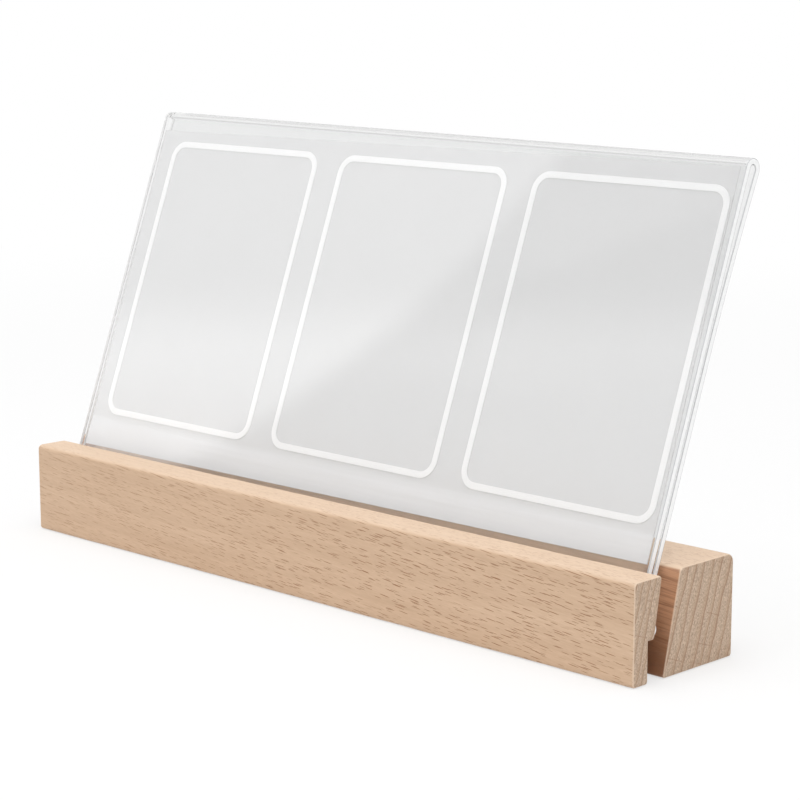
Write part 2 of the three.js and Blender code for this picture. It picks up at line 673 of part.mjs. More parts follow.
// Line printed on the back of the front leaf round one card's picture
function windowLine(x) {
  const edge = (spread, path) => roundedRectangle(
    WINDOW_WIDTH + spread, WINDOW_HEIGHT + spread, WINDOW_ROUND + spread / 2, path,
  );
  const outline = edge(LINE_WIDTH);
  outline.holes.push(edge(-LINE_WIDTH, new THREE.Path()));
  const back = INK_LIFT + INK_THICKNESS - cardGap / 2;
  const middle = WINDOW_FOOT + WINDOW_HEIGHT / 2;
  return plateFromBack(outline, INK_THICKNESS, back).translate(x + PRINT_SHIFT, 0, middle);
}

function diffuserSheet() {
  const halfWidth = holderWidth / 2 - DIFFUSER_SIDE_MARGIN;
  const top = HOLDER_HEIGHT - SHEET_THICKNESS - DIFFUSER_HEAD_ROOM;
  return block(-halfWidth, halfWidth, -DIFFUSER_THICKNESS / 2, DIFFUSER_THICKNESS / 2, DIFFUSER_FOOT, top);
}

// Assembly
const photoFrame = new THREE.Group();

const base = new THREE.Group();
base.position.y = -BASE_DEPTH / 2;
photoFrame.add(base);
pieces(base, [
  ['front_rail', frontRail(), beech()],
  ['rear_rail', rearRail(), beech()],
  ['slot_batten', slotBatten(), beech()],
  ['led_strip_board', lightStrip(), whitePlastic()],
  ...lightChips(),
  ['light_rod', lightRod(), clearAcrylic()],
  ['lead_red', lead(leadX - LEAD_SPACING / 2), finish(0xb02a26, 0.5)],
  ['lead_black', lead(leadX + LEAD_SPACING / 2), darkPlastic()],
  ['control_board', controlBoard(), boardGreen()],
  ['driver_chip', driverChip(), darkPlastic()],
  ['usb_c_shell', usbShell(), steel()],
  ['usb_c_tongue', usbTongue(), darkPlastic()],
  ['switch_body', switchBody(), darkPlastic()],
  ['push_button', pushButton(), whitePlastic()],
  ['board_screw_left', boardScrew(-1), steel()],
  ['board_screw_right', boardScrew(1), steel()],
  ['pocket_cover', pocketCover(), darkPlastic()],
  ['cover_screw_left', coverScrew(-1), steel()],
  ['cover_screw_right', coverScrew(1), steel()],
]);

const holder = new THREE.Group();
holder.position.set(HOLDER_SIDE_SHIFT, holderY, holderZ);
holder.rotation.x = -HOLDER_LEAN;
base.add(holder);
pieces(holder, [
  ['acrylic_holder', acrylicHolder(), clearAcrylic()],
  ['window_line_left', windowLine(-CARD_WIDTH), whiteInk()],
  ['window_line_centre', windowLine(0), whiteInk()],
  ['window_line_right', windowLine(CARD_WIDTH), whiteInk()],
]);

const insert = new THREE.Group();
insert.rotation.y = -DIFFUSER_TILT;
holder.add(insert);
pieces(insert, [
  ['diffuser_sheet', diffuserSheet(), milkyFilm()],
]);

export default photoFrame;
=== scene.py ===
import json
import math

import bmesh
import bpy
from mathutils import Matrix, Vector, noise


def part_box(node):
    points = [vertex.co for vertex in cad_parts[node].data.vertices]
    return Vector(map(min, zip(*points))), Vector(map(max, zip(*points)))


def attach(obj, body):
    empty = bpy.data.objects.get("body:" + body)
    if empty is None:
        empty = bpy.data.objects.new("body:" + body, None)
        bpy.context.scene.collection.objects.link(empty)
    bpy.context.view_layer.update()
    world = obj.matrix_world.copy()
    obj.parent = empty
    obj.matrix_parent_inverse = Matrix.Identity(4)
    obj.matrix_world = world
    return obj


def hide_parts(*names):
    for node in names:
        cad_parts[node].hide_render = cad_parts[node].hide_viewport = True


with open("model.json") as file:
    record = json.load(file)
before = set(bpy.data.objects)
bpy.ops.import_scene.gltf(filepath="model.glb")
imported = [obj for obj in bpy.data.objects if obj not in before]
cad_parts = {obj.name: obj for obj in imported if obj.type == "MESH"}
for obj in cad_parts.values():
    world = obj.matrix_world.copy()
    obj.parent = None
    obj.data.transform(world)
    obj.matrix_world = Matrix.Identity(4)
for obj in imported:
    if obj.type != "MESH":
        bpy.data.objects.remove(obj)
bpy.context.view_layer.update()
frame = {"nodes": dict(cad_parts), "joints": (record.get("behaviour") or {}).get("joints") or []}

# Front rail: a narrow stick of bare beech, moulded along its length so that its back face leans over
# the slot above a rebate. It is cut square at the ends and its edges are eased with sandpaper.
MM = 0.001
MERGE_WITHIN = 0.005 * MM
FLAT_WITHIN = math.radians(0.5)
SHARP_ABOVE = math.radians(35)
BROAD_FACE_WEIGHT = 100
PLANE_RIPPLE = 2.5 * MM
RIPPLE_HEIGHT = 0.04 * MM
RIPPLE_LENGTHS = (7 * MM, 2.5 * MM, 2.5 * MM)


def merged_copy(node):
    """A node's triangles as one joined mesh whose flat faces are whole."""
    form = bmesh.new()
    form.from_mesh(frame["nodes"][node].data)
    bmesh.ops.remove_doubles(form, verts=form.verts, dist=MERGE_WITHIN)
    bmesh.ops.dissolve_limit(form, angle_limit=FLAT_WITHIN, verts=form.verts, edges=form.edges)
    return form


def new_piece(name, form, *finishes):
    """The finished mesh as an object at the origin, smooth except at its sharp edges."""
    mesh = bpy.data.meshes.new(name)
    form.to_mesh(mesh)
    form.free()
    mesh.shade_smooth()
    mesh.set_sharp_from_angle(angle=SHARP_ABOVE)
    for finish in finishes:
        mesh.materials.append(finish)
    piece = bpy.data.objects.new(name, mesh)
    bpy.context.scene.collection.objects.link(piece)
    return piece


def keep_faces_flat(piece):
    """Lets the broad faces set the shading, so that only the rounded edges turn."""
    shading = piece.modifiers.new("broad_faces_lead", "WEIGHTED_NORMAL")
    shading.keep_sharp = True
    shading.weight = BROAD_FACE_WEIGHT


def planed_copy(node):
    """A rail as it leaves the planer: cut into short lengths that ripple a little across the grain."""
    form = merged_copy(node)
    low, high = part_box(node)
    lengths = round((high.x - low.x) / PLANE_RIPPLE)
    for index in range(1, lengths):
        x = low.x + (high.x - low.x) * index / lengths
        everything = form.verts[:] + form.edges[:] + form.faces[:]
        bmesh.ops.bisect_plane(form, geom=everything, plane_co=(x, 0, 0), plane_no=(1, 0, 0))
    form.normal_update()
    for vert in form.verts:
        spot = Vector(co / length for co, length in zip(vert.co, RIPPLE_LENGTHS))
        vert.co += vert.normal * RIPPLE_HEIGHT * noise.noise(spot)
    return form


NOISE_LOW = 0.25
NOISE_HIGH = 0.75


def add_node(tree, kind, inputs=(), **settings):
    """One shader node: its settings, then its inputs, each linked to a socket or set to a value."""
    made = tree.nodes.new("ShaderNode" + kind)
    for name, value in settings.items():
        setattr(made, name, value)
    for key, value in dict(inputs).items():
        socket = made.inputs[key]
        if isinstance(value, bpy.types.NodeSocket):
            tree.links.new(value, socket)
        elif socket.type == "RGBA":
            socket.default_value = (*value, 1)
        else:
            socket.default_value = value
    return made


def calc(tree, operation, *values):
    """A sum on one, two or three numbers."""
    return add_node(tree, "Math", enumerate(values), operation=operation).outputs[0]


def ease(tree, value, start, end):
    """0 at start, 1 at end and smooth between them."""
    inputs = {"Value": value, "From Min": start, "From Max": end}
    return add_node(tree, "MapRange", inputs, interpolation_type="SMOOTHSTEP").outputs[0]


def hump(tree, value, start, full_from, full_to, end):
    """0 up to start, 1 from full_from to full_to, and 0 again past end."""
    return calc(tree, "MULTIPLY", ease(tree, value, start, full_from), ease(tree, value, end, full_to))


def spread(tree, value, low, high):
    """A noise value, most of which keeps to its middle range, spread evenly from low to high."""
    return add_node(tree, "MapRange", {
        "Value": value, "From Min": NOISE_LOW, "From Max": NOISE_HIGH, "To Min": low, "To Max": high,
    }).outputs[0]


def blend(tree, share, under, over):
    """One number turned into another by a share from 0 to 1."""
    return add_node(tree, "Mix", {0: share, 2: under, 3: over}).outputs[0]


def tint(tree, share, under, over):
    """One colour laid over another by a share from 0 to 1."""
    return add_node(tree, "Mix", {0: share, 6: under, 7: over}, data_type="RGBA").outputs[2]


def split(tree, vector):
    """The x, y and z of a place or a direction."""
    return add_node(tree, "SeparateXYZ", {0: vector}).outputs


def scaled(tree, place, scale):
    """A place stretched along each axis."""
    return add_node(tree, "VectorMath", {0: place, 1: scale}, operation="MULTIPLY").outputs[0]


def grain_noise(tree, place, scale, detail=2.0, roughness=0.5):
    """Noise with its own fineness along each axis."""
    stretched = scaled(tree, place, scale)
    inputs = {"Vector": stretched, "Scale": 1.0, "Detail": detail, "Roughness": roughness}
    return add_node(tree, "TexNoise", inputs).outputs[0]


def new_finish(name, sockets=()):
    """A material with its Principled shader, and on it the values that are even all over."""
    made = bpy.data.materials.new(name)
    made.use_nodes = True
    shader = made.node_tree.nodes["Principled BSDF"]
    for socket, value in dict(sockets).items():
        shader.inputs[socket].default_value = value
    return made, made.node_tree, shader


def place_in_mm(tree, turn=(0, 0, 0), shift=(0, 0, 0)):
    """The place on the piece in millimetres, and the way its surface faces."""
    spot = add_node(tree, "TexCoord").outputs
    inputs = {"Vector": spot["Object"], "Location": shift, "Rotation": turn, "Scale": (1 / MM,) * 3}
    return add_node(tree, "Mapping", inputs).outputs[0], spot["Normal"]


def raise_surface(tree, shader, height, depth):
    """Bump of a given depth in metres, from a height of 0 to 1."""
    bump = add_node(tree, "Bump", {"Height": height, "Strength": 1.0, "Distance": depth})
    tree.links.new(bump.outputs[0], shader.inputs["Normal"])


RING_WANDER = 1.6
RING_CROWDING = 3.0
WANDER_GRAIN = (0.02, 0.09, 0.09)
CROWDING_GRAIN = (0.004, 0.2, 0.05)


def growth_rings(tree, place, ring_width):
    """How far each ring of the tree has grown, from 0 to 1, and the wander of its course."""
    wander = grain_noise(tree, place, WANDER_GRAIN)
    crowding = grain_noise(tree, place, CROWDING_GRAIN, detail=1)
    ring = calc(tree, "MULTIPLY_ADD", wander, RING_WANDER, split(tree, place)[1])
    ring = calc(tree, "MULTIPLY_ADD", crowding, RING_CROWDING, ring)
    return calc(tree, "FRACT", calc(tree, "DIVIDE", ring, ring_width)), wander


PALE_WOOD = (0.73, 0.53, 0.37)
PINK_WOOD = (0.645, 0.45, 0.30)
LATE_WOOD = (0.47, 0.30, 0.185)
# Paler wood colour for the painted highlights on the top and on the eased corners.
PAINTED_HIGHLIGHT_WOOD = (0.84, 0.675, 0.525)
BAND_GRAIN = (0.012, 0.16, 0.16)
BAND_SHARE = 0.8
FIBRE_GRAIN = (0.05, 1.6, 1.6)
FIBRE_SHARE = 0.36
SPECKLE_GRAIN = (0.5, 4.5, 4.5)
SPECKLE_SHARE = 0.3
LATE_SHARE = 0.16
LATE_MORE_ON_TOP = 0.12
TOP_PAINTED_SHEEN = 0.4


def long_grain(tree, place, fibre, late, on_top):
    """Colour along the grain: broad pink bands, fine fibres, speckles, late growth and a painted sheen on
    the top.
    """
    broad = grain_noise(tree, place, BAND_GRAIN, detail=3)
    speckle = grain_noise(tree, place, SPECKLE_GRAIN)
    late_share = calc(tree, "MULTIPLY_ADD", on_top, LATE_MORE_ON_TOP, LATE_SHARE)
    colour = tint(tree, spread(tree, broad, 0, BAND_SHARE), PALE_WOOD, PINK_WOOD)
    colour = tint(tree, spread(tree, fibre, 0, FIBRE_SHARE), colour, LATE_WOOD)
    colour = tint(tree, spread(tree, speckle, 0, SPECKLE_SHARE), colour, LATE_WOOD)
    colour = tint(tree, calc(tree, "MULTIPLY", late, late_share), colour, LATE_WOOD)
    # Painted sheen: the top is lightened where the light falls on it.
    return tint(tree, calc(tree, "MULTIPLY", on_top, TOP_PAINTED_SHEEN), colour, PAINTED_HIGHLIGHT_WOOD)


RAY_FLECK = (0.33, 0.15, 0.065)
FLECK_ROWS = (0.165, 5.2, 5.2)
ROW_STAGGER = 0.382
FLECK_SCATTER = 0.8
FLECK_REACH = 0.18
FLECK_REACH_MORE = 0.2
FLECK_EDGE = (0.04, -0.06)
FLECK_CHANCE = (0.2, 0.6)
FLECK_FADES = (-70, 50)
FLECK_LEFT = 0.6
FLECK_RIGHT_MORE = 0.5
FLECK_TOP_LESS = 0.4


def ray_flecks(tree, place, on_top):
    """Short dark dashes in staggered rows, fainter towards the left and on the top."""
    rows = split(tree, scaled(tree, place, FLECK_ROWS))
    staggered = calc(tree, "MULTIPLY_ADD", rows[1], ROW_STAGGER, rows[0])
    staggered = calc(tree, "MULTIPLY_ADD", rows[2], 1 - ROW_STAGGER, staggered)
    spots = add_node(tree, "CombineXYZ", {0: staggered, 1: rows[1], 2: rows[2]}).outputs[0]
    inputs = {"Vector": spots, "Scale": 1.0, "Randomness": FLECK_SCATTER}
    cells = add_node(tree, "TexVoronoi", inputs).outputs
    chance = split(tree, cells["Color"])
    reach = calc(tree, "MULTIPLY_ADD", chance[0], FLECK_REACH_MORE, FLECK_REACH)
    dash = ease(tree, calc(tree, "SUBTRACT", cells["Distance"], reach), *FLECK_EDGE)
    dash = calc(tree, "MULTIPLY", dash, ease(tree, chance[1], *FLECK_CHANCE))
    rightwards = ease(tree, split(tree, place)[0], *FLECK_FADES)
    strength = calc(tree, "MULTIPLY_ADD", rightwards, FLECK_RIGHT_MORE, FLECK_LEFT)
    top_share = calc(tree, "MULTIPLY_ADD", on_top, -FLECK_TOP_LESS, 1.0)
    return calc(tree, "MULTIPLY", dash, calc(tree, "MULTIPLY", strength, top_share))


# The sawn wall's dark brown is partly the saw's mark and partly painted shade of the slot.
SAWN_AND_SHADED_WOOD = (0.55, 0.295, 0.165)
SAWN_STREAK_AND_SHADE = (0.30, 0.14, 0.07)
SLOT_PAINTED_LIGHT = (0.90, 0.60, 0.38)
STREAK_GRAIN = (0.06, 2.2, 2.2)
STREAK_EDGE = (0.42, 0.72)
SLOT_SHADE_BELOW = (13, 1)
SLOT_LIGHT_ENDS = (80, 77)
SLOT_LIGHT_SHARE = (1, 0.7)


def slot_wall(tree, place):
    """Saw-rough slot wall: dark streaks, painted shade deepest near the table, painted light behind the
    sheet.
    """
    along, _, height = split(tree, place_in_mm(tree)[0])
    streak = grain_noise(tree, place, STREAK_GRAIN, detail=3, roughness=0.7)
    sawn_and_shaded = tint(tree, ease(tree, streak, *STREAK_EDGE), SAWN_AND_SHADED_WOOD, SAWN_STREAK_AND_SHADE)
    # Painted shade: darker towards the table, deep in the slot.
    sawn_and_shaded = tint(tree, ease(tree, height, *SLOT_SHADE_BELOW), sawn_and_shaded, SAWN_STREAK_AND_SHADE)
    # Painted light: paler away from the open ends, where the wall lies behind the sheet.
    behind_sheet = ease(tree, calc(tree, "ABSOLUTE", along), *SLOT_LIGHT_ENDS)
    pale = calc(tree, "MULTIPLY", behind_sheet, spread(tree, streak, *SLOT_LIGHT_SHARE))
    return tint(tree, pale, sawn_and_shaded, SLOT_PAINTED_LIGHT)


END_WOOD = (0.75, 0.58, 0.43)
END_PORE = (0.33, 0.22, 0.155)
END_RAY = (0.36, 0.20, 0.125)
PORE_EDGE = (0.3, 0.74)
END_LATE_SHARE = 0.5
RING_LINE = (0.84, 0.94, 0.97, 1.0)
RING_LINE_SHARE = 0.7
RAY_WANDER = 0.8
RAY_SPACING = 6.5
RAY_HALF = 0.08
RAY_CORE = 0.3
RAY_PATCHES = (0.1, 0.25, 0.25)
RAY_SHOWS = (0.4, 0.6)
RAY_SHARE = 0.7


def end_grain(tree, place, pores, age, late, wander):
    """Colour of the cut ends: open pores, a dark line to each ring, and rays that come and go."""
    end = tint(tree, ease(tree, pores, *PORE_EDGE), END_WOOD, END_PORE)
    end = tint(tree, calc(tree, "MULTIPLY", late, END_LATE_SHARE), end, LATE_WOOD)
    ring_line = calc(tree, "MULTIPLY", hump(tree, age, *RING_LINE), RING_LINE_SHARE)
    end = tint(tree, ring_line, end, END_RAY)
    course = calc(tree, "MULTIPLY_ADD", wander, RAY_WANDER, split(tree, place)[2])
    rays_apart = add_node(tree, "TexVoronoi", {
        "W": calc(tree, "DIVIDE", course, RAY_SPACING), "Scale": 1.0,
    }, voronoi_dimensions="1D", feature="DISTANCE_TO_EDGE")
    half = RAY_HALF / RAY_SPACING
    ray = ease(tree, rays_apart.outputs["Distance"], half, RAY_CORE * half)
    shows = ease(tree, grain_noise(tree, place, RAY_PATCHES), *RAY_SHOWS)
    ray = calc(tree, "MULTIPLY", ray, calc(tree, "MULTIPLY", shows, RAY_SHARE))
    return tint(tree, ray, end, END_RAY)


GRAIN_FALL = math.radians(5)
RING_LEAN = math.radians(18)
END_FACING = (0.75, 0.95)
ARRIS_FACING = (0.12, 0.4, 0.8, 0.98)
TOP_FACING = (0.3, 0.9)
SLOT_FACING = (0.6, 0.9)
LATE_GROWTH = (0.3, 0.95, 0.96, 1.0)
ARRIS_PAINTED_HIGHLIGHT = 0.5
PORE_GRAIN = (0.8, 5.5, 2.4)
WOOD_SHEEN = 0.45
WOOD_ROUGH = (0.50, 0.64)
END_ROUGHER = 0.12
FLECK_SINKS = 0.6
WOOD_RELIEF = 0.05 * MM


def beech(name, shift, ring_width, slot_side):
    """Bare beech along X, with end grain on its ends. The side that faces along Y by the sign of
    slot_side is the wall of the slot."""
    bare, tree, shader = new_finish(name, {"Specular IOR Level": WOOD_SHEEN})
    place, normal = place_in_mm(tree, turn=(RING_LEAN, -GRAIN_FALL, 0), shift=shift)
    facing = split(tree, normal)
    endwards = calc(tree, "ABSOLUTE", facing[0])
    on_end = ease(tree, endwards, *END_FACING)
    on_arris = hump(tree, endwards, *ARRIS_FACING)
    on_top = ease(tree, calc(tree, "ABSOLUTE", facing[2]), *TOP_FACING)
    on_slot = ease(tree, calc(tree, "MULTIPLY", facing[1], slot_side), *SLOT_FACING)

    age, wander = growth_rings(tree, place, ring_width)
    late = hump(tree, age, *LATE_GROWTH)
    fibre = grain_noise(tree, place, FIBRE_GRAIN, detail=4, roughness=0.65)
    pores = grain_noise(tree, place, PORE_GRAIN, detail=3, roughness=0.75)
    fleck = ray_flecks(tree, place, on_top)
    colour = tint(tree, fleck, long_grain(tree, place, fibre, late, on_top), RAY_FLECK)
    colour = tint(tree, on_slot, colour, slot_wall(tree, place))
    # Painted highlight: the corners that turn towards the ends are lightened.
    colour = tint(tree, calc(tree, "MULTIPLY", on_arris, ARRIS_PAINTED_HIGHLIGHT), colour, PAINTED_HIGHLIGHT_WOOD)
    colour = tint(tree, on_end, colour, end_grain(tree, place, pores, age, late, wander))
    tree.links.new(colour, shader.inputs["Base Color"])

    rough = calc(tree, "MULTIPLY_ADD", on_end, END_ROUGHER, spread(tree, fibre, *WOOD_ROUGH))
    tree.links.new(rough, shader.inputs["Roughness"])
    furrows = calc(tree, "SUBTRACT", fibre, calc(tree, "MULTIPLY", fleck, FLECK_SINKS))
    raise_surface(tree, shader, blend(tree, on_end, furrows, pores), WOOD_RELIEF)
    return bare


FRONT_CUT = (3, 1.2, 40)
FRONT_RING_WIDTH = 1.6
FACES_BACK = 1

front_wood = beech("front_beech", FRONT_CUT, FRONT_RING_WIDTH, FACES_BACK)
front_rail = new_piece("beech_front_rail", planed_copy("front_rail"), front_wood)
keep_faces_flat(front_rail)
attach(front_rail, "base")
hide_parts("front_rail")

# Rear rail: a wider stick of the same beech. Its front is sawn off at a slant to make the slot's back
# wall, and its underside is routed out for the control board.
REAR_CUT = (55, 0.4, 12)
REAR_RING_WIDTH = 2.5
FACES_FRONT = -1

rear_wood = beech("rear_beech", REAR_CUT, REAR_RING_WIDTH, FACES_FRONT)
rear_rail = new_piece("beech_rear_rail", planed_copy("rear_rail"), rear_wood)
keep_faces_flat(rear_rail)
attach(rear_rail, "base")
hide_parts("rear_rail")

# Batten: a beech strip glued into the rebate between the rails. It floors the slot, and a groove run
# along its top takes the light strip.
BATTEN_CUT = (20, 0, 0)
BATTEN_RING_WIDTH = 2.2


def dress_node(node, finish):
    """Gives a carried-over piece its finish."""
    frame["nodes"][node].data.materials.clear()
    frame["nodes"][node].data.materials.append(finish)


dress_node("slot_batten", beech("batten_beech", BATTEN_CUT, BATTEN_RING_WIDTH, FACES_BACK))

# Light strip: a flexible printed board in a white solder mask, stuck to the floor of the groove. Tinned
# copper pads show on both sides of each chip.
CHIP_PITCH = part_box("led_02")[0].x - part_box("led_01")[0].x
FIRST_CHIP = sum(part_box("led_01"), Vector()) / 2
PAD_FROM_CHIP = 2.4
PAD_HALF = 0.8
PAD_EDGE = 0.05
WHITE_MASK = (0.78, 0.79, 0.78)
TINNED_PAD = (0.62, 0.58, 0.50)
MOTTLE_FINENESS = 1.2
MOTTLE_SHARE = 0.12
STRIP_ROUGH = 0.42
STRIP_RELIEF = 0.02 * MM


def even_noise(tree, place, fineness, detail=2.0, roughness=0.5):
    """Noise that is as fine along every axis."""
    return grain_noise(tree, place, (fineness,) * 3, detail, roughness)


def along_pitch(tree, place):
    """How far along X a place lies from the middle of the nearest chip, in millimetres."""
    from_first = calc(tree, "SUBTRACT", split(tree, place)[0], FIRST_CHIP.x / MM)
    return calc(tree, "PINGPONG", from_first, CHIP_PITCH / MM / 2)


def strip_mask():
    """Slightly mottled white mask, open over the tinned pads."""
    mask, tree, shader = new_finish("white_solder_mask", {"Roughness": STRIP_ROUGH})
    place, _ = place_in_mm(tree)
    from_pad = calc(tree, "ABSOLUTE", calc(tree, "SUBTRACT", along_pitch(tree, place), PAD_FROM_CHIP))
    pad = ease(tree, from_pad, PAD_HALF + PAD_EDGE, PAD_HALF - PAD_EDGE)
    mottle = even_noise(tree, place, MOTTLE_FINENESS, detail=3)
    white = tint(tree, spread(tree, mottle, 0, MOTTLE_SHARE), WHITE_MASK, TINNED_PAD)
    tree.links.new(tint(tree, pad, white, TINNED_PAD), shader.inputs["Base Color"])
    tree.links.new(pad, shader.inputs["Metallic"])
    raise_surface(tree, shader, mottle, STRIP_RELIEF)
    return mask


dress_node("led_strip_board", strip_mask())

# Light chips: small white moulded cases soldered to the strip, each with a well of yellow phosphor gel
# in its top.
GEL_RADIUS = 0.5
GEL_EDGE = 0.08
UPWARDS = (0.5, 0.9)
CASE_WHITE = (0.80, 0.80, 0.77)
PHOSPHOR = (0.78, 0.62, 0.12)
PHOSPHOR_FINENESS = 6
PHOSPHOR_PALES = 0.4
CHIP_ROUGH = (0.3, 0.5)


def chip_case():
    """White plastic with a round spot of grainy yellow gel on top."""
    case, tree, shader = new_finish("white_case_and_gel")
    place, normal = place_in_mm(tree)
    across = calc(tree, "SUBTRACT", split(tree, place)[1], FIRST_CHIP.y / MM)
    along = along_pitch(tree, place)
    squares = calc(tree, "ADD", calc(tree, "POWER", along, 2), calc(tree, "POWER", across, 2))
    well = ease(tree, calc(tree, "SQRT", squares), GEL_RADIUS, GEL_RADIUS - GEL_EDGE)
    gel = calc(tree, "MULTIPLY", well, ease(tree, split(tree, normal)[2], *UPWARDS))
    speck = even_noise(tree, place, PHOSPHOR_FINENESS)
    yellow = tint(tree, spread(tree, speck, 0, PHOSPHOR_PALES), PHOSPHOR, CASE_WHITE)
    tree.links.new(tint(tree, gel, CASE_WHITE, yellow), shader.inputs["Base Color"])
    tree.links.new(spread(tree, speck, *CHIP_ROUGH), shader.inputs["Roughness"])
    return case


chip_finish = chip_case()
for chip in (name for name in frame["nodes"] if name.startswith("led_") and name != "led_strip_board"):
    dress_node(chip, chip_finish)

# Control board: a glass-fibre board in a green solder mask, hung by two screws under the ledges of the
# pocket in the rear rail.
MASK_GREEN = (0.030, 0.150, 0.075)
TRACK_GREEN = (0.060, 0.230, 0.110)
TRACK_SCALE = (0.22, 0.5, 0)
TRACK_WIDTH = 0.05
TRACK_RUN = 0.9
WEAVE_FINENESS = 3
WEAVE_SHARE = 0.25
BOARD_ROUGH = 0.35
TRACK_RELIEF = 0.03 * MM


def board_mask():
    """Green mask over the glass weave, paler and raised where it runs over the copper tracks."""
    mask, tree, shader = new_finish("green_solder_mask", {"Roughness": BOARD_ROUGH})
    place, _ = place_in_mm(tree)
    track = add_node(tree, "TexBrick", {
        "Vector": scaled(tree, place, TRACK_SCALE), "Scale": 1.0,
        "Mortar Size": TRACK_WIDTH, "Brick Width": TRACK_RUN,
    }).outputs["Fac"]
    weave = even_noise(tree, place, WEAVE_FINENESS)
    shade = tint(tree, spread(tree, weave, 0, WEAVE_SHARE), MASK_GREEN, TRACK_GREEN)
    tree.links.new(tint(tree, track, shade, TRACK_GREEN), shader.inputs["Base Color"])
    raise_surface(tree, shader, track, TRACK_RELIEF)
    return mask


dress_node("control_board", board_mask())

# Driver chip and switch: small black mouldings soldered to the top of the control board. The switch
# stands in line with the button, whose stem works it.
CASE_BLACK = (0.018, 0.018, 0.020)
WORN_BLACK = (0.045, 0.045, 0.048)
TEXTURE_FINENESS = 7
TEXTURE_SHARE = 0.5
HANDLED_FINENESS = 0.12
HANDLED_SHARE = (-0.1, 0.4)
MOULDING_ROUGH = (0.42, 0.58)
MOULDING_RELIEF = 0.02 * MM


def black_moulding(name):
    """Black plastic from a spark-eroded mould, with a fine even texture."""
    moulding, tree, shader = new_finish(name)
    place, _ = place_in_mm(tree)
    texture = even_noise(tree, place, TEXTURE_FINENESS, detail=3, roughness=0.6)
    handled = even_noise(tree, place, HANDLED_FINENESS)
    tone = calc(tree, "MULTIPLY_ADD", texture, TEXTURE_SHARE, spread(tree, handled, *HANDLED_SHARE))
    tree.links.new(tint(tree, tone, CASE_BLACK, WORN_BLACK), shader.inputs["Base Color"])
    tree.links.new(spread(tree, handled, *MOULDING_ROUGH), shader.inputs["Roughness"])
    raise_surface(tree, shader, texture, MOULDING_RELIEF)
    return moulding


case_finish = black_moulding("black_case")
dress_node("driver_chip", case_finish)
dress_node("switch_body", case_finish)

# Leads: two stranded wires in red and black plastic, from the board through a hole in the rear rail to
# the strip.
LEAD_RED = (0.42, 0.030, 0.025)
LEAD_BLACK = (0.020, 0.020, 0.022)
LEAD_BLOOM = (0.30, 0.28, 0.27)
BLOOM_FINENESS = 0.9
BLOOM_SHARE = 0.16
LEAD_ROUGH = 0.45
LEAD_RELIEF = 0.03 * MM


def lead_plastic(name, colour):
    """Soft coloured plastic with a faint pale bloom."""
    plastic, tree, shader = new_finish(name, {"Roughness": LEAD_ROUGH})
    place, _ = place_in_mm(tree)
    bloom = even_noise(tree, place, BLOOM_FINENESS, detail=3)
    shade = tint(tree, spread(tree, bloom, 0, BLOOM_SHARE), colour, LEAD_BLOOM)
    tree.links.new(shade, shader.inputs["Base Color"])
    raise_surface(tree, shader, bloom, LEAD_RELIEF)
    return plastic


dress_node("lead_red", lead_plastic("red_lead_plastic", LEAD_RED))
dress_node("lead_black", lead_plastic("black_lead_plastic", LEAD_BLACK))

# Screws: turned steel with cross drives. Two with pan heads hold the board under its ledges, and two
# with countersunk heads hold the cover in the underside.
SCREW_EASE = 0.08 * MM
EASE_STEPS = 2
STEEL_BRIGHT = (0.60, 0.60, 0.61)
STEEL_DULL = (0.42, 0.42, 0.43)
TURNING_GRAIN = (3, 3, 12)
STEEL_ROUGH = (0.24, 0.40)
STEEL_RELIEF = 0.01 * MM


def eased_copy(node, width):
    """A node's mesh with its sharp edges rounded over."""
    form = merged_copy(node)
    sharp = [edge for edge in form.edges if edge.is_manifold and edge.calc_face_angle() > SHARP_ABOVE]
    bmesh.ops.bevel(
        form, geom=sharp, offset=width, offset_type="OFFSET", segments=EASE_STEPS, profile=0.5,
        affect="EDGES", material=-1, clamp_overlap=True,
    )
    return form


def bright_steel(name):
    """Steel with fine tool marks that dull it unevenly."""
    steel, tree, shader = new_finish(name, {"Metallic": 1.0})
    place, _ = place_in_mm(tree)
    turning = grain_noise(tree, place, TURNING_GRAIN, detail=3)
    shade = tint(tree, spread(tree, turning, 0, 1), STEEL_BRIGHT, STEEL_DULL)
    tree.links.new(shade, shader.inputs["Base Color"])
    tree.links.new(spread(tree, turning, *STEEL_ROUGH), shader.inputs["Roughness"])
    raise_surface(tree, shader, turning, STEEL_RELIEF)
    return steel


steel_finish = bright_steel("screw_steel")
for side in ("left", "right"):
    dress_node("board_screw_" + side, steel_finish)
    turned = eased_copy("cover_screw_" + side, SCREW_EASE)
    cover_screw = new_piece("countersunk_screw_" + side, turned, steel_finish)
    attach(cover_screw, "base")
    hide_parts("cover_screw_" + side)

# Power inlet: a drawn steel shell round a black tongue with gilt contacts, soldered to the back edge of
# the board so that its mouth opens in the rail's back.
SHELL_EASE = 0.06 * MM
CONTACT_PITCH = 0.5
CONTACT_EDGE = (0.16, 0.12)
CONTACT_GILT = (0.75, 0.52, 0.20)
TONGUE_ROUGH = 0.4

shell_finish = bright_steel("drawn_steel")
socket_shell = new_piece("socket_shell", eased_copy("usb_c_shell", SHELL_EASE), shell_finish)
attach(socket_shell, "base")
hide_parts("usb_c_shell")


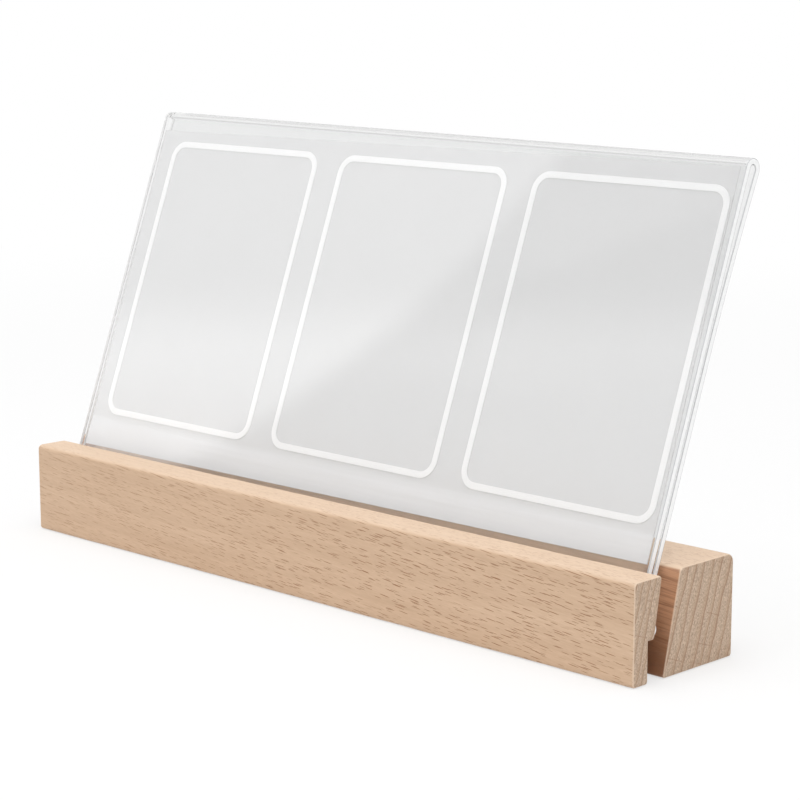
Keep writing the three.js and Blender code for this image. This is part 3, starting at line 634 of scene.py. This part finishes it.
def tongue_plastic():
    """Black plastic with rows of gilt contacts on its upper and lower faces."""
    plastic, tree, shader = new_finish("tongue_and_contacts", {"Roughness": TONGUE_ROUGH})
    place, normal = place_in_mm(tree)
    level = ease(tree, calc(tree, "ABSOLUTE", split(tree, normal)[2]), *UPWARDS)
    from_middle = calc(tree, "PINGPONG", split(tree, place)[0], CONTACT_PITCH / 2)
    contact = calc(tree, "MULTIPLY", ease(tree, from_middle, *CONTACT_EDGE), level)
    tree.links.new(tint(tree, contact, CASE_BLACK, CONTACT_GILT), shader.inputs["Base Color"])
    tree.links.new(contact, shader.inputs["Metallic"])
    return plastic


socket_tongue = new_piece("socket_tongue", eased_copy("usb_c_tongue", SHELL_EASE), tongue_plastic())
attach(socket_tongue, "base")
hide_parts("usb_c_tongue")

# Push button: a white moulded cap with a shallow dish for the finger. A flange behind the rail's back
# wall keeps it in, and its stem reaches into the switch.
BUTTON_LOW, BUTTON_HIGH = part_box("push_button")
BUTTON_AXIS = (BUTTON_LOW + BUTTON_HIGH) / 2
FLANGE_RADIUS = (BUTTON_HIGH.x - BUTTON_LOW.x) / 2
CAP_RADIUS = 2.5 * MM
CAP_ROUND = 0.4 * MM
CAP_ROUND_STEPS = 5
STEM_RADIUS = 1.2 * MM
FLANGE_FROM_FACE = 3.3 * MM
FLANGE_THICKNESS = 0.55 * MM
DISH_RADIUS = 1.9 * MM
DISH_DEPTH = 0.16 * MM
DISH_HALFWAY = 0.75
BUTTON_TURNS = 64
BUTTON_WHITE = (0.80, 0.79, 0.76)
BUTTON_GREY = (0.66, 0.65, 0.62)
TOUCH_FINENESS = 0.5
TOUCH_SHARE = 0.35
CAP_FINENESS = 9
BUTTON_ROUGH = (0.32, 0.46)
BUTTON_RELIEF = 0.012 * MM


def turned_button():
    """Half section of the button from the stem's tip to the middle of the dish, spun about its axis."""
    face = BUTTON_HIGH.y
    tip = BUTTON_LOW.y
    flange_back = face - FLANGE_FROM_FACE
    flange_front = flange_back - FLANGE_THICKNESS
    section = [
        (0, tip), (STEM_RADIUS, tip), (STEM_RADIUS, flange_front), (FLANGE_RADIUS, flange_front),
        (FLANGE_RADIUS, flange_back), (CAP_RADIUS, flange_back), (CAP_RADIUS, face), (DISH_RADIUS, face),
        (DISH_RADIUS / 2, face - DISH_DEPTH * DISH_HALFWAY), (0, face - DISH_DEPTH),
    ]
    form = bmesh.new()
    chain = [form.verts.new((BUTTON_AXIS.x + radius, y, BUTTON_AXIS.z)) for radius, y in section]
    edges = [form.edges.new(pair) for pair in zip(chain, chain[1:])]
    bmesh.ops.spin(
        form, geom=chain + edges, cent=BUTTON_AXIS, axis=(0, 1, 0), angle=2 * math.pi,
        steps=BUTTON_TURNS, use_merge=True,
    )
    bmesh.ops.remove_doubles(form, verts=form.verts, dist=MERGE_WITHIN)
    bmesh.ops.recalc_face_normals(form, faces=form.faces)
    rim = [edge for edge in form.edges if all(
        abs(vert.co.y - face) < MERGE_WITHIN
        and abs((vert.co - BUTTON_AXIS).xz.length - CAP_RADIUS) < MERGE_WITHIN for vert in edge.verts
    )]
    bmesh.ops.bevel(
        form, geom=rim, offset=CAP_ROUND, offset_type="OFFSET", segments=CAP_ROUND_STEPS, profile=0.5,
        affect="EDGES", material=-1,
    )
    return form


def white_moulding():
    """White plastic with a fine mould texture, greyed a little by fingers."""
    moulding, tree, shader = new_finish("white_button_plastic")
    place, _ = place_in_mm(tree)
    touched = even_noise(tree, place, TOUCH_FINENESS, detail=3)
    texture = even_noise(tree, place, CAP_FINENESS)
    shade = tint(tree, spread(tree, touched, 0, TOUCH_SHARE), BUTTON_WHITE, BUTTON_GREY)
    tree.links.new(shade, shader.inputs["Base Color"])
    tree.links.new(spread(tree, touched, *BUTTON_ROUGH), shader.inputs["Roughness"])
    raise_surface(tree, shader, texture, BUTTON_RELIEF)
    return moulding


button = new_piece("round_button", turned_button(), white_moulding())
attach(button, "button")
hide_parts("push_button")

# Pocket cover: a flat black moulding with eased edges, let into the underside of the rear rail over the
# control board. The two countersunk screws hold it.
COVER_EASE = 0.2 * MM

cover_finish = black_moulding("cover_plastic")
cover = new_piece("underside_cover", eased_copy("pocket_cover", COVER_EASE), cover_finish)
keep_faces_flat(cover)
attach(cover, "base")
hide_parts("pocket_cover")

# Light rod: a clear acrylic rod laid on the batten over the strip. The folded sheet stands on it, and
# its cut right end, white with painted glow, shows beside the front rail as a pale bead.
ROD_LOW, ROD_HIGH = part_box("light_rod")
ROD_SIDES = 64
ROD_END_EASE = 0.4 * MM
ROD_END_STEPS = 4
CUT_FACING = 0.3
ACRYLIC_TINT = (0.895, 0.897, 0.897)
ACRYLIC_BEND = 1.49
SMUDGE_FINENESS = 0.05
WIPED_ROUGH = 0.01
ROD_SMUDGED = 0.06
SWIRL_FINENESS = 0.018
SWIRL_RELIEF = 0.015 * MM
EDGE_WHITE = (0.93, 0.935, 0.935)
EDGE_LEFT_SHADE = (0.88, 0.885, 0.89)
EDGE_PAINTED_GLOW = 0.1
RIGHTWARDS = (-0.5, 0.5)
CUTTING_GRAIN = (4, 0.1, 0.1)
EDGE_ROUGH = (0.2, 0.3)


def lighting_rays(tree):
    """1 for the rays that carry light to a surface, 0 for those that see or mirror one."""
    ray = add_node(tree, "LightPath").outputs
    return calc(tree, "MAXIMUM", ray["Is Shadow Ray"], ray["Is Diffuse Ray"])


def clear_acrylic(name, smudged_rough):
    """Clear acrylic with faint wiping smudges. Lamp and sky light falls straight through it."""
    clear, tree, shader = new_finish(name, {
        "Base Color": (*ACRYLIC_TINT, 1), "IOR": ACRYLIC_BEND, "Transmission Weight": 1.0,
    })
    place, _ = place_in_mm(tree)
    smudge = even_noise(tree, place, SMUDGE_FINENESS, detail=5, roughness=0.6)
    swirl = even_noise(tree, place, SWIRL_FINENESS, detail=1)
    tree.links.new(spread(tree, smudge, WIPED_ROUGH, smudged_rough), shader.inputs["Roughness"])
    raise_surface(tree, shader, swirl, SWIRL_RELIEF)
    straight = add_node(tree, "BsdfTransparent").outputs[0]
    inputs = {0: lighting_rays(tree), 1: shader.outputs[0], 2: straight}
    mixed = add_node(tree, "MixShader", inputs).outputs[0]
    tree.links.new(mixed, tree.nodes["Material Output"].inputs["Surface"])
    return clear


def cut_edge():
    """Acrylic where it is cut and flame-polished: opaque near-white with a painted glow for the light it
    gathers, and painted shade that greys it a little towards the left."""
    edge, tree, shader = new_finish("cut_acrylic_edge", {
        "IOR": ACRYLIC_BEND, "Emission Color": (*EDGE_WHITE, 1), "Emission Strength": EDGE_PAINTED_GLOW,
    })
    place, normal = place_in_mm(tree)
    # Painted shade: greyer where the edge faces left, whiter where it faces right.
    shade = tint(tree, ease(tree, split(tree, normal)[0], *RIGHTWARDS), EDGE_LEFT_SHADE, EDGE_WHITE)
    tree.links.new(shade, shader.inputs["Base Color"])
    cutting = grain_noise(tree, place, CUTTING_GRAIN)
    tree.links.new(spread(tree, cutting, *EDGE_ROUGH), shader.inputs["Roughness"])
    return edge


def polished_rod():
    """A cylinder along X with eased rims, its end faces marked for the cut edge's finish."""
    radius = (ROD_HIGH.z - ROD_LOW.z) / 2
    form = bmesh.new()
    lay = Matrix.Translation((ROD_LOW + ROD_HIGH) / 2) @ Matrix.Rotation(math.pi / 2, 4, "Y")
    bmesh.ops.create_cone(
        form, cap_ends=True, segments=ROD_SIDES, radius1=radius, radius2=radius,
        depth=ROD_HIGH.x - ROD_LOW.x, matrix=lay,
    )
    rims = [edge for edge in form.edges if edge.calc_face_angle() > SHARP_ABOVE]
    bmesh.ops.bevel(
        form, geom=rims, offset=ROD_END_EASE, offset_type="OFFSET", segments=ROD_END_STEPS, profile=0.5,
        affect="EDGES", material=-1,
    )
    form.normal_update()
    for face in form.faces:
        face.material_index = int(abs(face.normal.x) > CUT_FACING)
    return form


# The cut edge's painted glow goes on the rod's ends and on the sheet's cut edges.
edge_finish = cut_edge()
rod = new_piece("clear_rod", polished_rod(), clear_acrylic("rod_acrylic", ROD_SMUDGED), edge_finish)
keep_faces_flat(rod)
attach(rod, "base")
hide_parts("light_rod")

# Folded sheet: one sheet of clear acrylic, heated along a line and folded over into two leaves. The
# front leaf stays flat, and the rear leaf springs away from it towards the fold. The fold falls a little
# to the right.
SHEET_LOW, SHEET_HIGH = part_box("acrylic_holder")
SHEET_HEIGHT = 85.8 * MM
SHEET_THICKNESS = 1.3 * MM
FOLD_FALL = math.radians(0.45)
CARD_GAP = 0.35 * MM
FOLD_GAP = 1.6 * MM
PARTING_HEIGHT = 46 * MM
FOLD_STEPS = 32
SPRING_STEPS = 24
EDGE_EASE = 0.18 * MM

LEAN_UP = Vector(next(joint["axis"] for joint in frame["joints"] if joint["name"] == "holder_lift"))
LEAN_BACK = Vector((0, LEAN_UP.z, -LEAN_UP.y))
half_stack = SHEET_THICKNESS + CARD_GAP / 2
sheet_foot = Vector((0, SHEET_LOW.y + half_stack * LEAN_BACK.y, SHEET_LOW.z - half_stack * LEAN_BACK.z))
leaning = Matrix((Vector((1, 0, 0)), LEAN_BACK, LEAN_UP)).transposed().to_4x4()


def folded_sheet():
    """Middle of the sheet from the front foot over the fold to the rear foot, drawn out along X."""
    form = bmesh.new()
    leaf = (SHEET_THICKNESS + CARD_GAP) / 2
    bend = (SHEET_THICKNESS + FOLD_GAP) / 2
    fold_height = SHEET_HEIGHT - bend - SHEET_THICKNESS / 2
    left = SHEET_LOW.x
    axis = Vector((left, bend - leaf, fold_height))
    front_foot = form.verts.new((left, -leaf, 0))
    front_top = form.verts.new((left, -leaf, fold_height))
    form.edges.new((front_foot, front_top))
    turned = bmesh.ops.spin(
        form, geom=[front_top], cent=axis, axis=(1, 0, 0), angle=-math.pi, steps=FOLD_STEPS,
    )
    last = next(item for item in turned["geom_last"] if isinstance(item, bmesh.types.BMVert))
    start = last.co.copy()
    knee = Vector((left, leaf, (PARTING_HEIGHT + fold_height) / 2))
    end = Vector((left, leaf, PARTING_HEIGHT))
    for step in range(1, SPRING_STEPS + 1):
        share = step / SPRING_STEPS
        point = start.lerp(knee, share).lerp(knee.lerp(end, share), share)
        following = form.verts.new(point)
        form.edges.new((last, following))
        last = following
    form.edges.new((last, form.verts.new((left, leaf, 0))))
    drawn = bmesh.ops.extrude_edge_only(form, edges=form.edges[:])
    moved = [item for item in drawn["geom"] if isinstance(item, bmesh.types.BMVert)]
    bmesh.ops.translate(form, verts=moved, vec=(SHEET_HIGH.x - SHEET_LOW.x, 0, 0))
    middle = (SHEET_LOW.x + SHEET_HIGH.x) / 2
    for vert in form.verts:
        vert.co.z *= 1 - (vert.co.x - middle) * math.tan(FOLD_FALL) / SHEET_HEIGHT
    bmesh.ops.recalc_face_normals(form, faces=form.faces)
    bmesh.ops.transform(form, matrix=Matrix.Translation(sheet_foot) @ leaning, verts=form.verts)
    return form


SHEET_SMUDGED = 0.035
CROWN_SHADE = (0.5, 0.505, 0.505)
CROWN_FACING = (0.88, 0.98)
ARRIS_BACK_SHADE = (0.22, 0.225, 0.23)
ARRIS_PALE = (0.62, 0.63, 0.635)
ARRIS_LEFT = (0.72, 0.725, 0.73)
ARRIS_BACKWARDS = (-0.2, 0.2)
ARRIS_LEFTWARDS = (10, -10)
ARRIS_FINENESS = 0.4
ARRIS_ROUGH = (0.2, 0.35)


def reach_along(tree, vector, way):
    """How far a place or a direction reaches along a given way."""
    return add_node(tree, "VectorMath", {0: vector, 1: way}, operation="DOT_PRODUCT").outputs["Value"]


def bent_acrylic():
    """Clear acrylic tinted greyer along the crown of the fold, a painted shade where the bend looks
    darker.
    """
    bent = clear_acrylic("sheet_acrylic", SHEET_SMUDGED)
    tree = bent.node_tree
    _, normal = place_in_mm(tree)
    crown = ease(tree, reach_along(tree, normal, LEAN_UP), *CROWN_FACING)
    # Painted shade along the crown of the fold.
    shade = tint(tree, crown, ACRYLIC_TINT, CROWN_SHADE)
    tree.links.new(shade, tree.nodes["Principled BSDF"].inputs["Base Color"])
    return bent


def eased_arris():
    """The eased corners of the cuts, in grey painted shade for the light they bend away: darkest towards
    the back of the right end, and paler towards the left end."""
    arris, tree, shader = new_finish("eased_acrylic_arris", {"IOR": ACRYLIC_BEND})
    place, normal = place_in_mm(tree)
    # Painted shade: darker where the corners face back; painted light makes the left half paler.
    backwards = ease(tree, reach_along(tree, normal, LEAN_BACK), *ARRIS_BACKWARDS)
    shade = tint(tree, backwards, ARRIS_PALE, ARRIS_BACK_SHADE)
    shade = tint(tree, ease(tree, split(tree, place)[0], *ARRIS_LEFTWARDS), shade, ARRIS_LEFT)
    tree.links.new(shade, shader.inputs["Base Color"])
    handled = even_noise(tree, place, ARRIS_FINENESS)
    tree.links.new(spread(tree, handled, *ARRIS_ROUGH), shader.inputs["Roughness"])
    return arris


sheet = new_piece("folded_acrylic", folded_sheet(), bent_acrylic(), edge_finish, eased_arris())
wall = sheet.modifiers.new("sheet_thickness", "SOLIDIFY")
wall.thickness = SHEET_THICKNESS
wall.offset = 0
wall.use_even_offset = True
wall.material_offset_rim = sheet.data.materials.find("cut_acrylic_edge")
easing = sheet.modifiers.new("eased_edges", "BEVEL")
easing.width = EDGE_EASE
easing.segments = EASE_STEPS
easing.limit_method = "ANGLE"
easing.angle_limit = SHARP_ABOVE
easing.material = sheet.data.materials.find("eased_acrylic_arris")
keep_faces_flat(sheet)
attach(sheet, "holder")
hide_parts("acrylic_holder")

# Printed lines: white ink screen-printed on the back of the front leaf, one rounded outline round the
# place of each card's picture.
LINE_WIDTH = 1.35 * MM
LINE_ROUND = 3.3 * MM
INK_THICKNESS = 0.05 * MM
CORNER_STEPS = 12
INK_WHITE = (0.96, 0.96, 0.96)
INK_THIN = (0.93, 0.93, 0.93)
INK_SHEEN = 0.2
MESH_FINENESS = 3
MESH_SHARE = 0.5
INK_ROUGH = (0.45, 0.6)
INK_RELIEF = 0.01 * MM


def printed_outline(node):
    """A rounded rectangle with its middle taken out, in the lean of the sheet."""
    low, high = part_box(node)
    half_width = (high.x - low.x) / 2
    half_height = (high - low).dot(LEAN_UP) / 2
    form = bmesh.new()
    corners = [(-1, -1), (1, -1), (1, 1), (-1, 1)]
    form.faces.new([form.verts.new((x * half_width, 0, z * half_height)) for x, z in corners])
    bmesh.ops.bevel(
        form, geom=form.verts[:], offset=LINE_ROUND + LINE_WIDTH / 2, offset_type="OFFSET",
        segments=CORNER_STEPS, profile=0.5, affect="VERTICES", material=-1,
    )
    bmesh.ops.inset_region(
        form, faces=form.faces[:], thickness=LINE_WIDTH, use_boundary=True, use_even_offset=True,
    )
    middle = max(form.faces, key=lambda face: face.calc_area())
    bmesh.ops.delete(form, geom=[middle], context="FACES_ONLY")
    bmesh.ops.translate(form, verts=form.verts, vec=(0, -INK_THICKNESS / 2, 0))
    layer = bmesh.ops.extrude_face_region(form, geom=form.faces[:], use_keep_orig=True)
    raised = [item for item in layer["geom"] if isinstance(item, bmesh.types.BMVert)]
    bmesh.ops.translate(form, verts=raised, vec=(0, INK_THICKNESS, 0))
    bmesh.ops.recalc_face_normals(form, faces=form.faces)
    bmesh.ops.transform(form, matrix=Matrix.Translation((low + high) / 2) @ leaning, verts=form.verts)
    return form


def screen_ink():
    """Matt white ink, a little thinner where the screen's mesh touched."""
    ink, tree, shader = new_finish("white_screen_ink", {"Specular IOR Level": INK_SHEEN})
    place, _ = place_in_mm(tree)
    mesh_mark = even_noise(tree, place, MESH_FINENESS)
    shade = tint(tree, spread(tree, mesh_mark, 0, MESH_SHARE), INK_WHITE, INK_THIN)
    tree.links.new(shade, shader.inputs["Base Color"])
    tree.links.new(spread(tree, mesh_mark, *INK_ROUGH), shader.inputs["Roughness"])
    raise_surface(tree, shader, mesh_mark, INK_RELIEF)
    return ink


ink_finish = screen_ink()
for card in ("left", "centre", "right"):
    line = new_piece("printed_line_" + card, printed_outline("window_line_" + card), ink_finish)
    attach(line, "holder")
    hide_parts("window_line_" + card)

# Milky sheet: a thin matt film between the leaves that spreads the light over the panel. It slides in
# from the side and sits a little crooked. Its milky coat carries painted light near the foot and stops
# just short of it.
FILM_MILK = (0.768, 0.768, 0.77)
FILM_CLOUD = (0.74, 0.74, 0.742)
FILM_PAINTED_LIGHT = (0.885, 0.895, 0.91)
FILM_SHEEN = 0.2
FILM_ROUGH = (0.5, 0.7)
FILM_RELIEF = 0.01 * MM
CLOUD_FINENESS = 0.03
CLOUD_SHARE = 0.5
SPECK_FINENESS = 2.2
SPECK_SHARE = 0.3
FOOT_LIGHT_BELOW = (15.8, 13.8)
FOOT_LIGHT_GRAIN = (0.03, 1.1, 1.1)
FOOT_LIGHT_SHARE = (0.6, 1)
COAT_FOOT = 8.93
COAT_FALL = math.tan(math.radians(0.33))
COAT_EDGE = 0.03
COAT_HIDES = 0.8
COAT_SHADES = 0.15
DUST = (0.45, 0.45, 0.45)
DUST_SPACING = 15
DUST_RADIUS = 0.22
DUST_SHARE = 0.5


def milky_film():
    """A coat that hides most of what is behind it, but passes most of the light that falls on it."""
    film, tree, shader = new_finish("milky_film", {"Specular IOR Level": FILM_SHEEN})
    place, _ = place_in_mm(tree)
    height = calc(tree, "SUBTRACT", reach_along(tree, place, LEAN_UP), sheet_foot.dot(LEAN_UP) / MM)
    coat_foot = calc(tree, "MULTIPLY_ADD", split(tree, place)[0], COAT_FALL, COAT_FOOT)
    coat = ease(tree, calc(tree, "SUBTRACT", height, coat_foot), -COAT_EDGE, COAT_EDGE)
    solid = blend(tree, lighting_rays(tree), COAT_HIDES, COAT_SHADES)
    tree.links.new(calc(tree, "MULTIPLY", coat, solid), shader.inputs["Alpha"])
    cloud = even_noise(tree, place, CLOUD_FINENESS, detail=3)
    speck = even_noise(tree, place, SPECK_FINENESS, detail=3)
    tone = calc(tree, "MULTIPLY_ADD", speck, SPECK_SHARE, spread(tree, cloud, 0, CLOUD_SHARE))
    colour = tint(tree, tone, FILM_MILK, FILM_CLOUD)
    # Painted light: the colour is paler and streaked near the foot.
    streak = grain_noise(tree, place, FOOT_LIGHT_GRAIN, detail=3)
    pale = calc(tree, "MULTIPLY", ease(tree, height, *FOOT_LIGHT_BELOW), spread(tree, streak, *FOOT_LIGHT_SHARE))
    colour = tint(tree, pale, colour, FILM_PAINTED_LIGHT)
    grains = add_node(tree, "TexVoronoi", {"Vector": place, "Scale": 1 / DUST_SPACING}).outputs
    grain = DUST_RADIUS / DUST_SPACING
    dust = calc(tree, "MULTIPLY", ease(tree, grains["Distance"], grain, grain / 2), DUST_SHARE)
    tree.links.new(tint(tree, dust, colour, DUST), shader.inputs["Base Color"])
    tree.links.new(spread(tree, speck, *FILM_ROUGH), shader.inputs["Roughness"])
    raise_surface(tree, shader, speck, FILM_RELIEF)
    return film


dress_node("diffuser_sheet", milky_film())

# Table: a plain white table top under even studio light. It runs into the white of the backdrop, and
# near the frame it keeps the frame's own soft shadow.
TABLE_HALF = 20.0
TABLE_DROP = 0.1 * MM
TABLE_WHITE = (0.83, 0.83, 0.83, 1)
TABLE_ROUGH = 0.9
GLOW_NEAR = 0.6
GLOW_RANGE = (0.15, 0.6)


def studio_rays(tree):
    """1 for the rays that see the studio itself or its picture in gloss or clear plastic."""
    ray = add_node(tree, "LightPath").outputs
    seen = calc(tree, "MAXIMUM", ray["Is Camera Ray"], ray["Is Glossy Ray"])
    return calc(tree, "MAXIMUM", seen, ray["Is Transmission Ray"])


def table_top():
    """White paint that takes the shadow near the frame and glows as white as the backdrop far from it."""
    top, tree, shader = new_finish("white_table", {"Base Color": TABLE_WHITE, "Roughness": TABLE_ROUGH})
    spot = add_node(tree, "TexCoord").outputs["Object"]
    away = add_node(tree, "VectorMath", {0: spot}, operation="LENGTH").outputs["Value"]
    share = calc(tree, "MULTIPLY_ADD", ease(tree, away, *GLOW_RANGE), 1 - GLOW_NEAR, GLOW_NEAR)
    share = calc(tree, "MULTIPLY", share, studio_rays(tree))
    glow = add_node(tree, "Emission", {"Strength": 1.0}).outputs[0]
    mixed = add_node(tree, "MixShader", {0: share, 1: shader.outputs[0], 2: glow}).outputs[0]
    tree.links.new(mixed, tree.nodes["Material Output"].inputs["Surface"])
    return top


table_form = bmesh.new()
lowered = Matrix.Translation((0, 0, -TABLE_DROP))
bmesh.ops.create_grid(table_form, x_segments=1, y_segments=1, size=TABLE_HALF, matrix=lowered)
table = new_piece("table_top", table_form, table_top())

# Camera: a long lens near table height, off the right front corner of the frame. It looks slightly
# down, to the right of the panel's middle.
CAMERA_AZIMUTH = math.radians(44.469)
CAMERA_RISE = math.radians(10.533)
CAMERA_AIM = Vector((28.016, -14.2, 43.987)) * MM
CAMERA_DISTANCE = 442.115 * MM
CAMERA_LENS = 105.836
CAMERA_SENSOR = 36
CAMERA_NEAR = 10 * MM

scene = bpy.context.scene
scene.view_settings.view_transform = "Standard"
camera_back = Vector((
    math.sin(CAMERA_AZIMUTH) * math.cos(CAMERA_RISE),
    -math.cos(CAMERA_AZIMUTH) * math.cos(CAMERA_RISE),
    math.sin(CAMERA_RISE),
))
camera = bpy.data.objects.new("camera", bpy.data.cameras.new("camera"))
camera.data.lens = CAMERA_LENS
camera.data.sensor_width = CAMERA_SENSOR
camera.data.clip_start = CAMERA_NEAR
camera.location = CAMERA_AIM + camera_back * CAMERA_DISTANCE
camera.rotation_euler = camera_back.to_track_quat("Z", "Y").to_euler()
scene.collection.objects.link(camera)
scene.camera = camera

# Studio light: an even white tent with a soft box overhead and another at the front. Where the panel
# mirrors the tent, a round screen stands at the left, a wall above it is greyer, its open end is dark,
# and all are brighter near the table.
OVERHEAD_SIZE = 1.2
OVERHEAD_PLACE = Vector((0.1, -0.2, 1.2))
OVERHEAD_GLOW = 2.6
FRONT_SIZE = 0.6
FRONT_PLACE = Vector((-0.35, -1.15, 0.6))
FRONT_GLOW = 1.3

panel_middle = (SHEET_LOW + SHEET_HIGH) / 2


def soft_box(name, place, size, glow):
    """A square lamp aimed at the panel, as bright per area as glow says."""
    lamp = bpy.data.lights.new(name, "AREA")
    lamp.size = size
    lamp.energy = glow * math.pi * size * size
    hung = bpy.data.objects.new(name, lamp)
    hung.location = place
    hung.rotation_euler = (place - panel_middle).to_track_quat("Z", "Y").to_euler()
    scene.collection.objects.link(hung)


soft_box("overhead_soft_box", OVERHEAD_PLACE, OVERHEAD_SIZE, OVERHEAD_GLOW)
soft_box("front_soft_box", FRONT_PLACE, FRONT_SIZE, FRONT_GLOW)

SCREEN_MIDDLE = (-0.461, 0.186)
SCREEN_EDGE = (0.005, 0.011)
WALL_EDGE = ((0.0156, 0.0163), (0.108, 0.129))
LOW_EDGE = ((-0.083, -0.051), (0.102, 0.053))
EDGE_SOFTNESS = 0.006
LOW_SOFTNESS = 0.03
OPEN_END = 0.02
WALL_GLOW = 0.29
SCREEN_GLOW = 0.84
LOW_GLOW = 0.68
BAND_GLOW = 0.2

mirrored = (panel_middle - camera.location).normalized().reflect(LEAN_BACK)
mirror_across = Vector((0, 0, 1)).cross(mirrored).normalized()
mirror_up = mirrored.cross(mirror_across)


def mirrored_way(across, up):
    """The direction that the panel's middle mirrors, turned aside by these shares of its length."""
    return (mirrored + mirror_across * across + mirror_up * up).normalized()


def towards(tree, way, aim, start, end):
    """0 to 1 as a direction turns towards an aim."""
    return ease(tree, reach_along(tree, way, aim), start, end)


def beside(edge):
    """Normal of the plane along an edge in the panel's mirrored picture, on the edge's upper side."""
    return mirrored_way(*edge[0]).cross(mirrored_way(*edge[1])).normalized()


def tent_in_panel(tree, way):
    """How bright the tent looks in the panel, by the direction."""
    middle = mirrored_way(*SCREEN_MIDDLE)
    rim = middle.dot(mirrored_way(*SCREEN_EDGE))
    screen = towards(tree, way, middle, rim - EDGE_SOFTNESS / 2, rim + EDGE_SOFTNESS / 2)
    wall = towards(tree, way, beside(WALL_EDGE), -EDGE_SOFTNESS, EDGE_SOFTNESS)
    over_low_edge = reach_along(tree, way, beside(LOW_EDGE))
    low = ease(tree, over_low_edge, LOW_SOFTNESS, -LOW_SOFTNESS / 3)
    band = hump(tree, over_low_edge, -LOW_SOFTNESS, 0, 0, LOW_SOFTNESS)
    glow = calc(tree, "MULTIPLY_ADD", calc(tree, "MAXIMUM", wall, screen), WALL_GLOW, OPEN_END)
    glow = calc(tree, "MULTIPLY_ADD", screen, SCREEN_GLOW, glow)
    glow = calc(tree, "MULTIPLY_ADD", band, BAND_GLOW, glow)
    return calc(tree, "MULTIPLY_ADD", low, LOW_GLOW, glow)


TENT_LIGHT = 0.60
STUDIO_SIDES = 0.75
BACKDROP_WHITE = 1.0
NEAR_MIRRORED = (0.82, 0.92)
NEAR_BACKDROP = (0.55, 0.8)

tent = bpy.data.worlds.new("white_tent")
tent.use_nodes = True
rays = tent.node_tree
way = add_node(rays, "TexCoord").outputs["Generated"]
straight_on = add_node(rays, "LightPath").outputs["Is Camera Ray"]
indirect = calc(rays, "SUBTRACT", 1.0, straight_on)
in_panel = calc(rays, "MULTIPLY", towards(rays, way, mirrored, *NEAR_MIRRORED), indirect)
backdrop = calc(rays, "MAXIMUM", straight_on, towards(rays, way, -camera_back, *NEAR_BACKDROP))
around = blend(rays, backdrop, STUDIO_SIDES, BACKDROP_WHITE)
seen = blend(rays, in_panel, around, tent_in_panel(rays, way))
brightness = blend(rays, studio_rays(rays), TENT_LIGHT, seen)
tent_glow = rays.nodes["Background"]
tent_glow.inputs["Color"].default_value = (1, 1, 1, 1)
rays.links.new(brightness, tent_glow.inputs["Strength"])
scene.world = tent
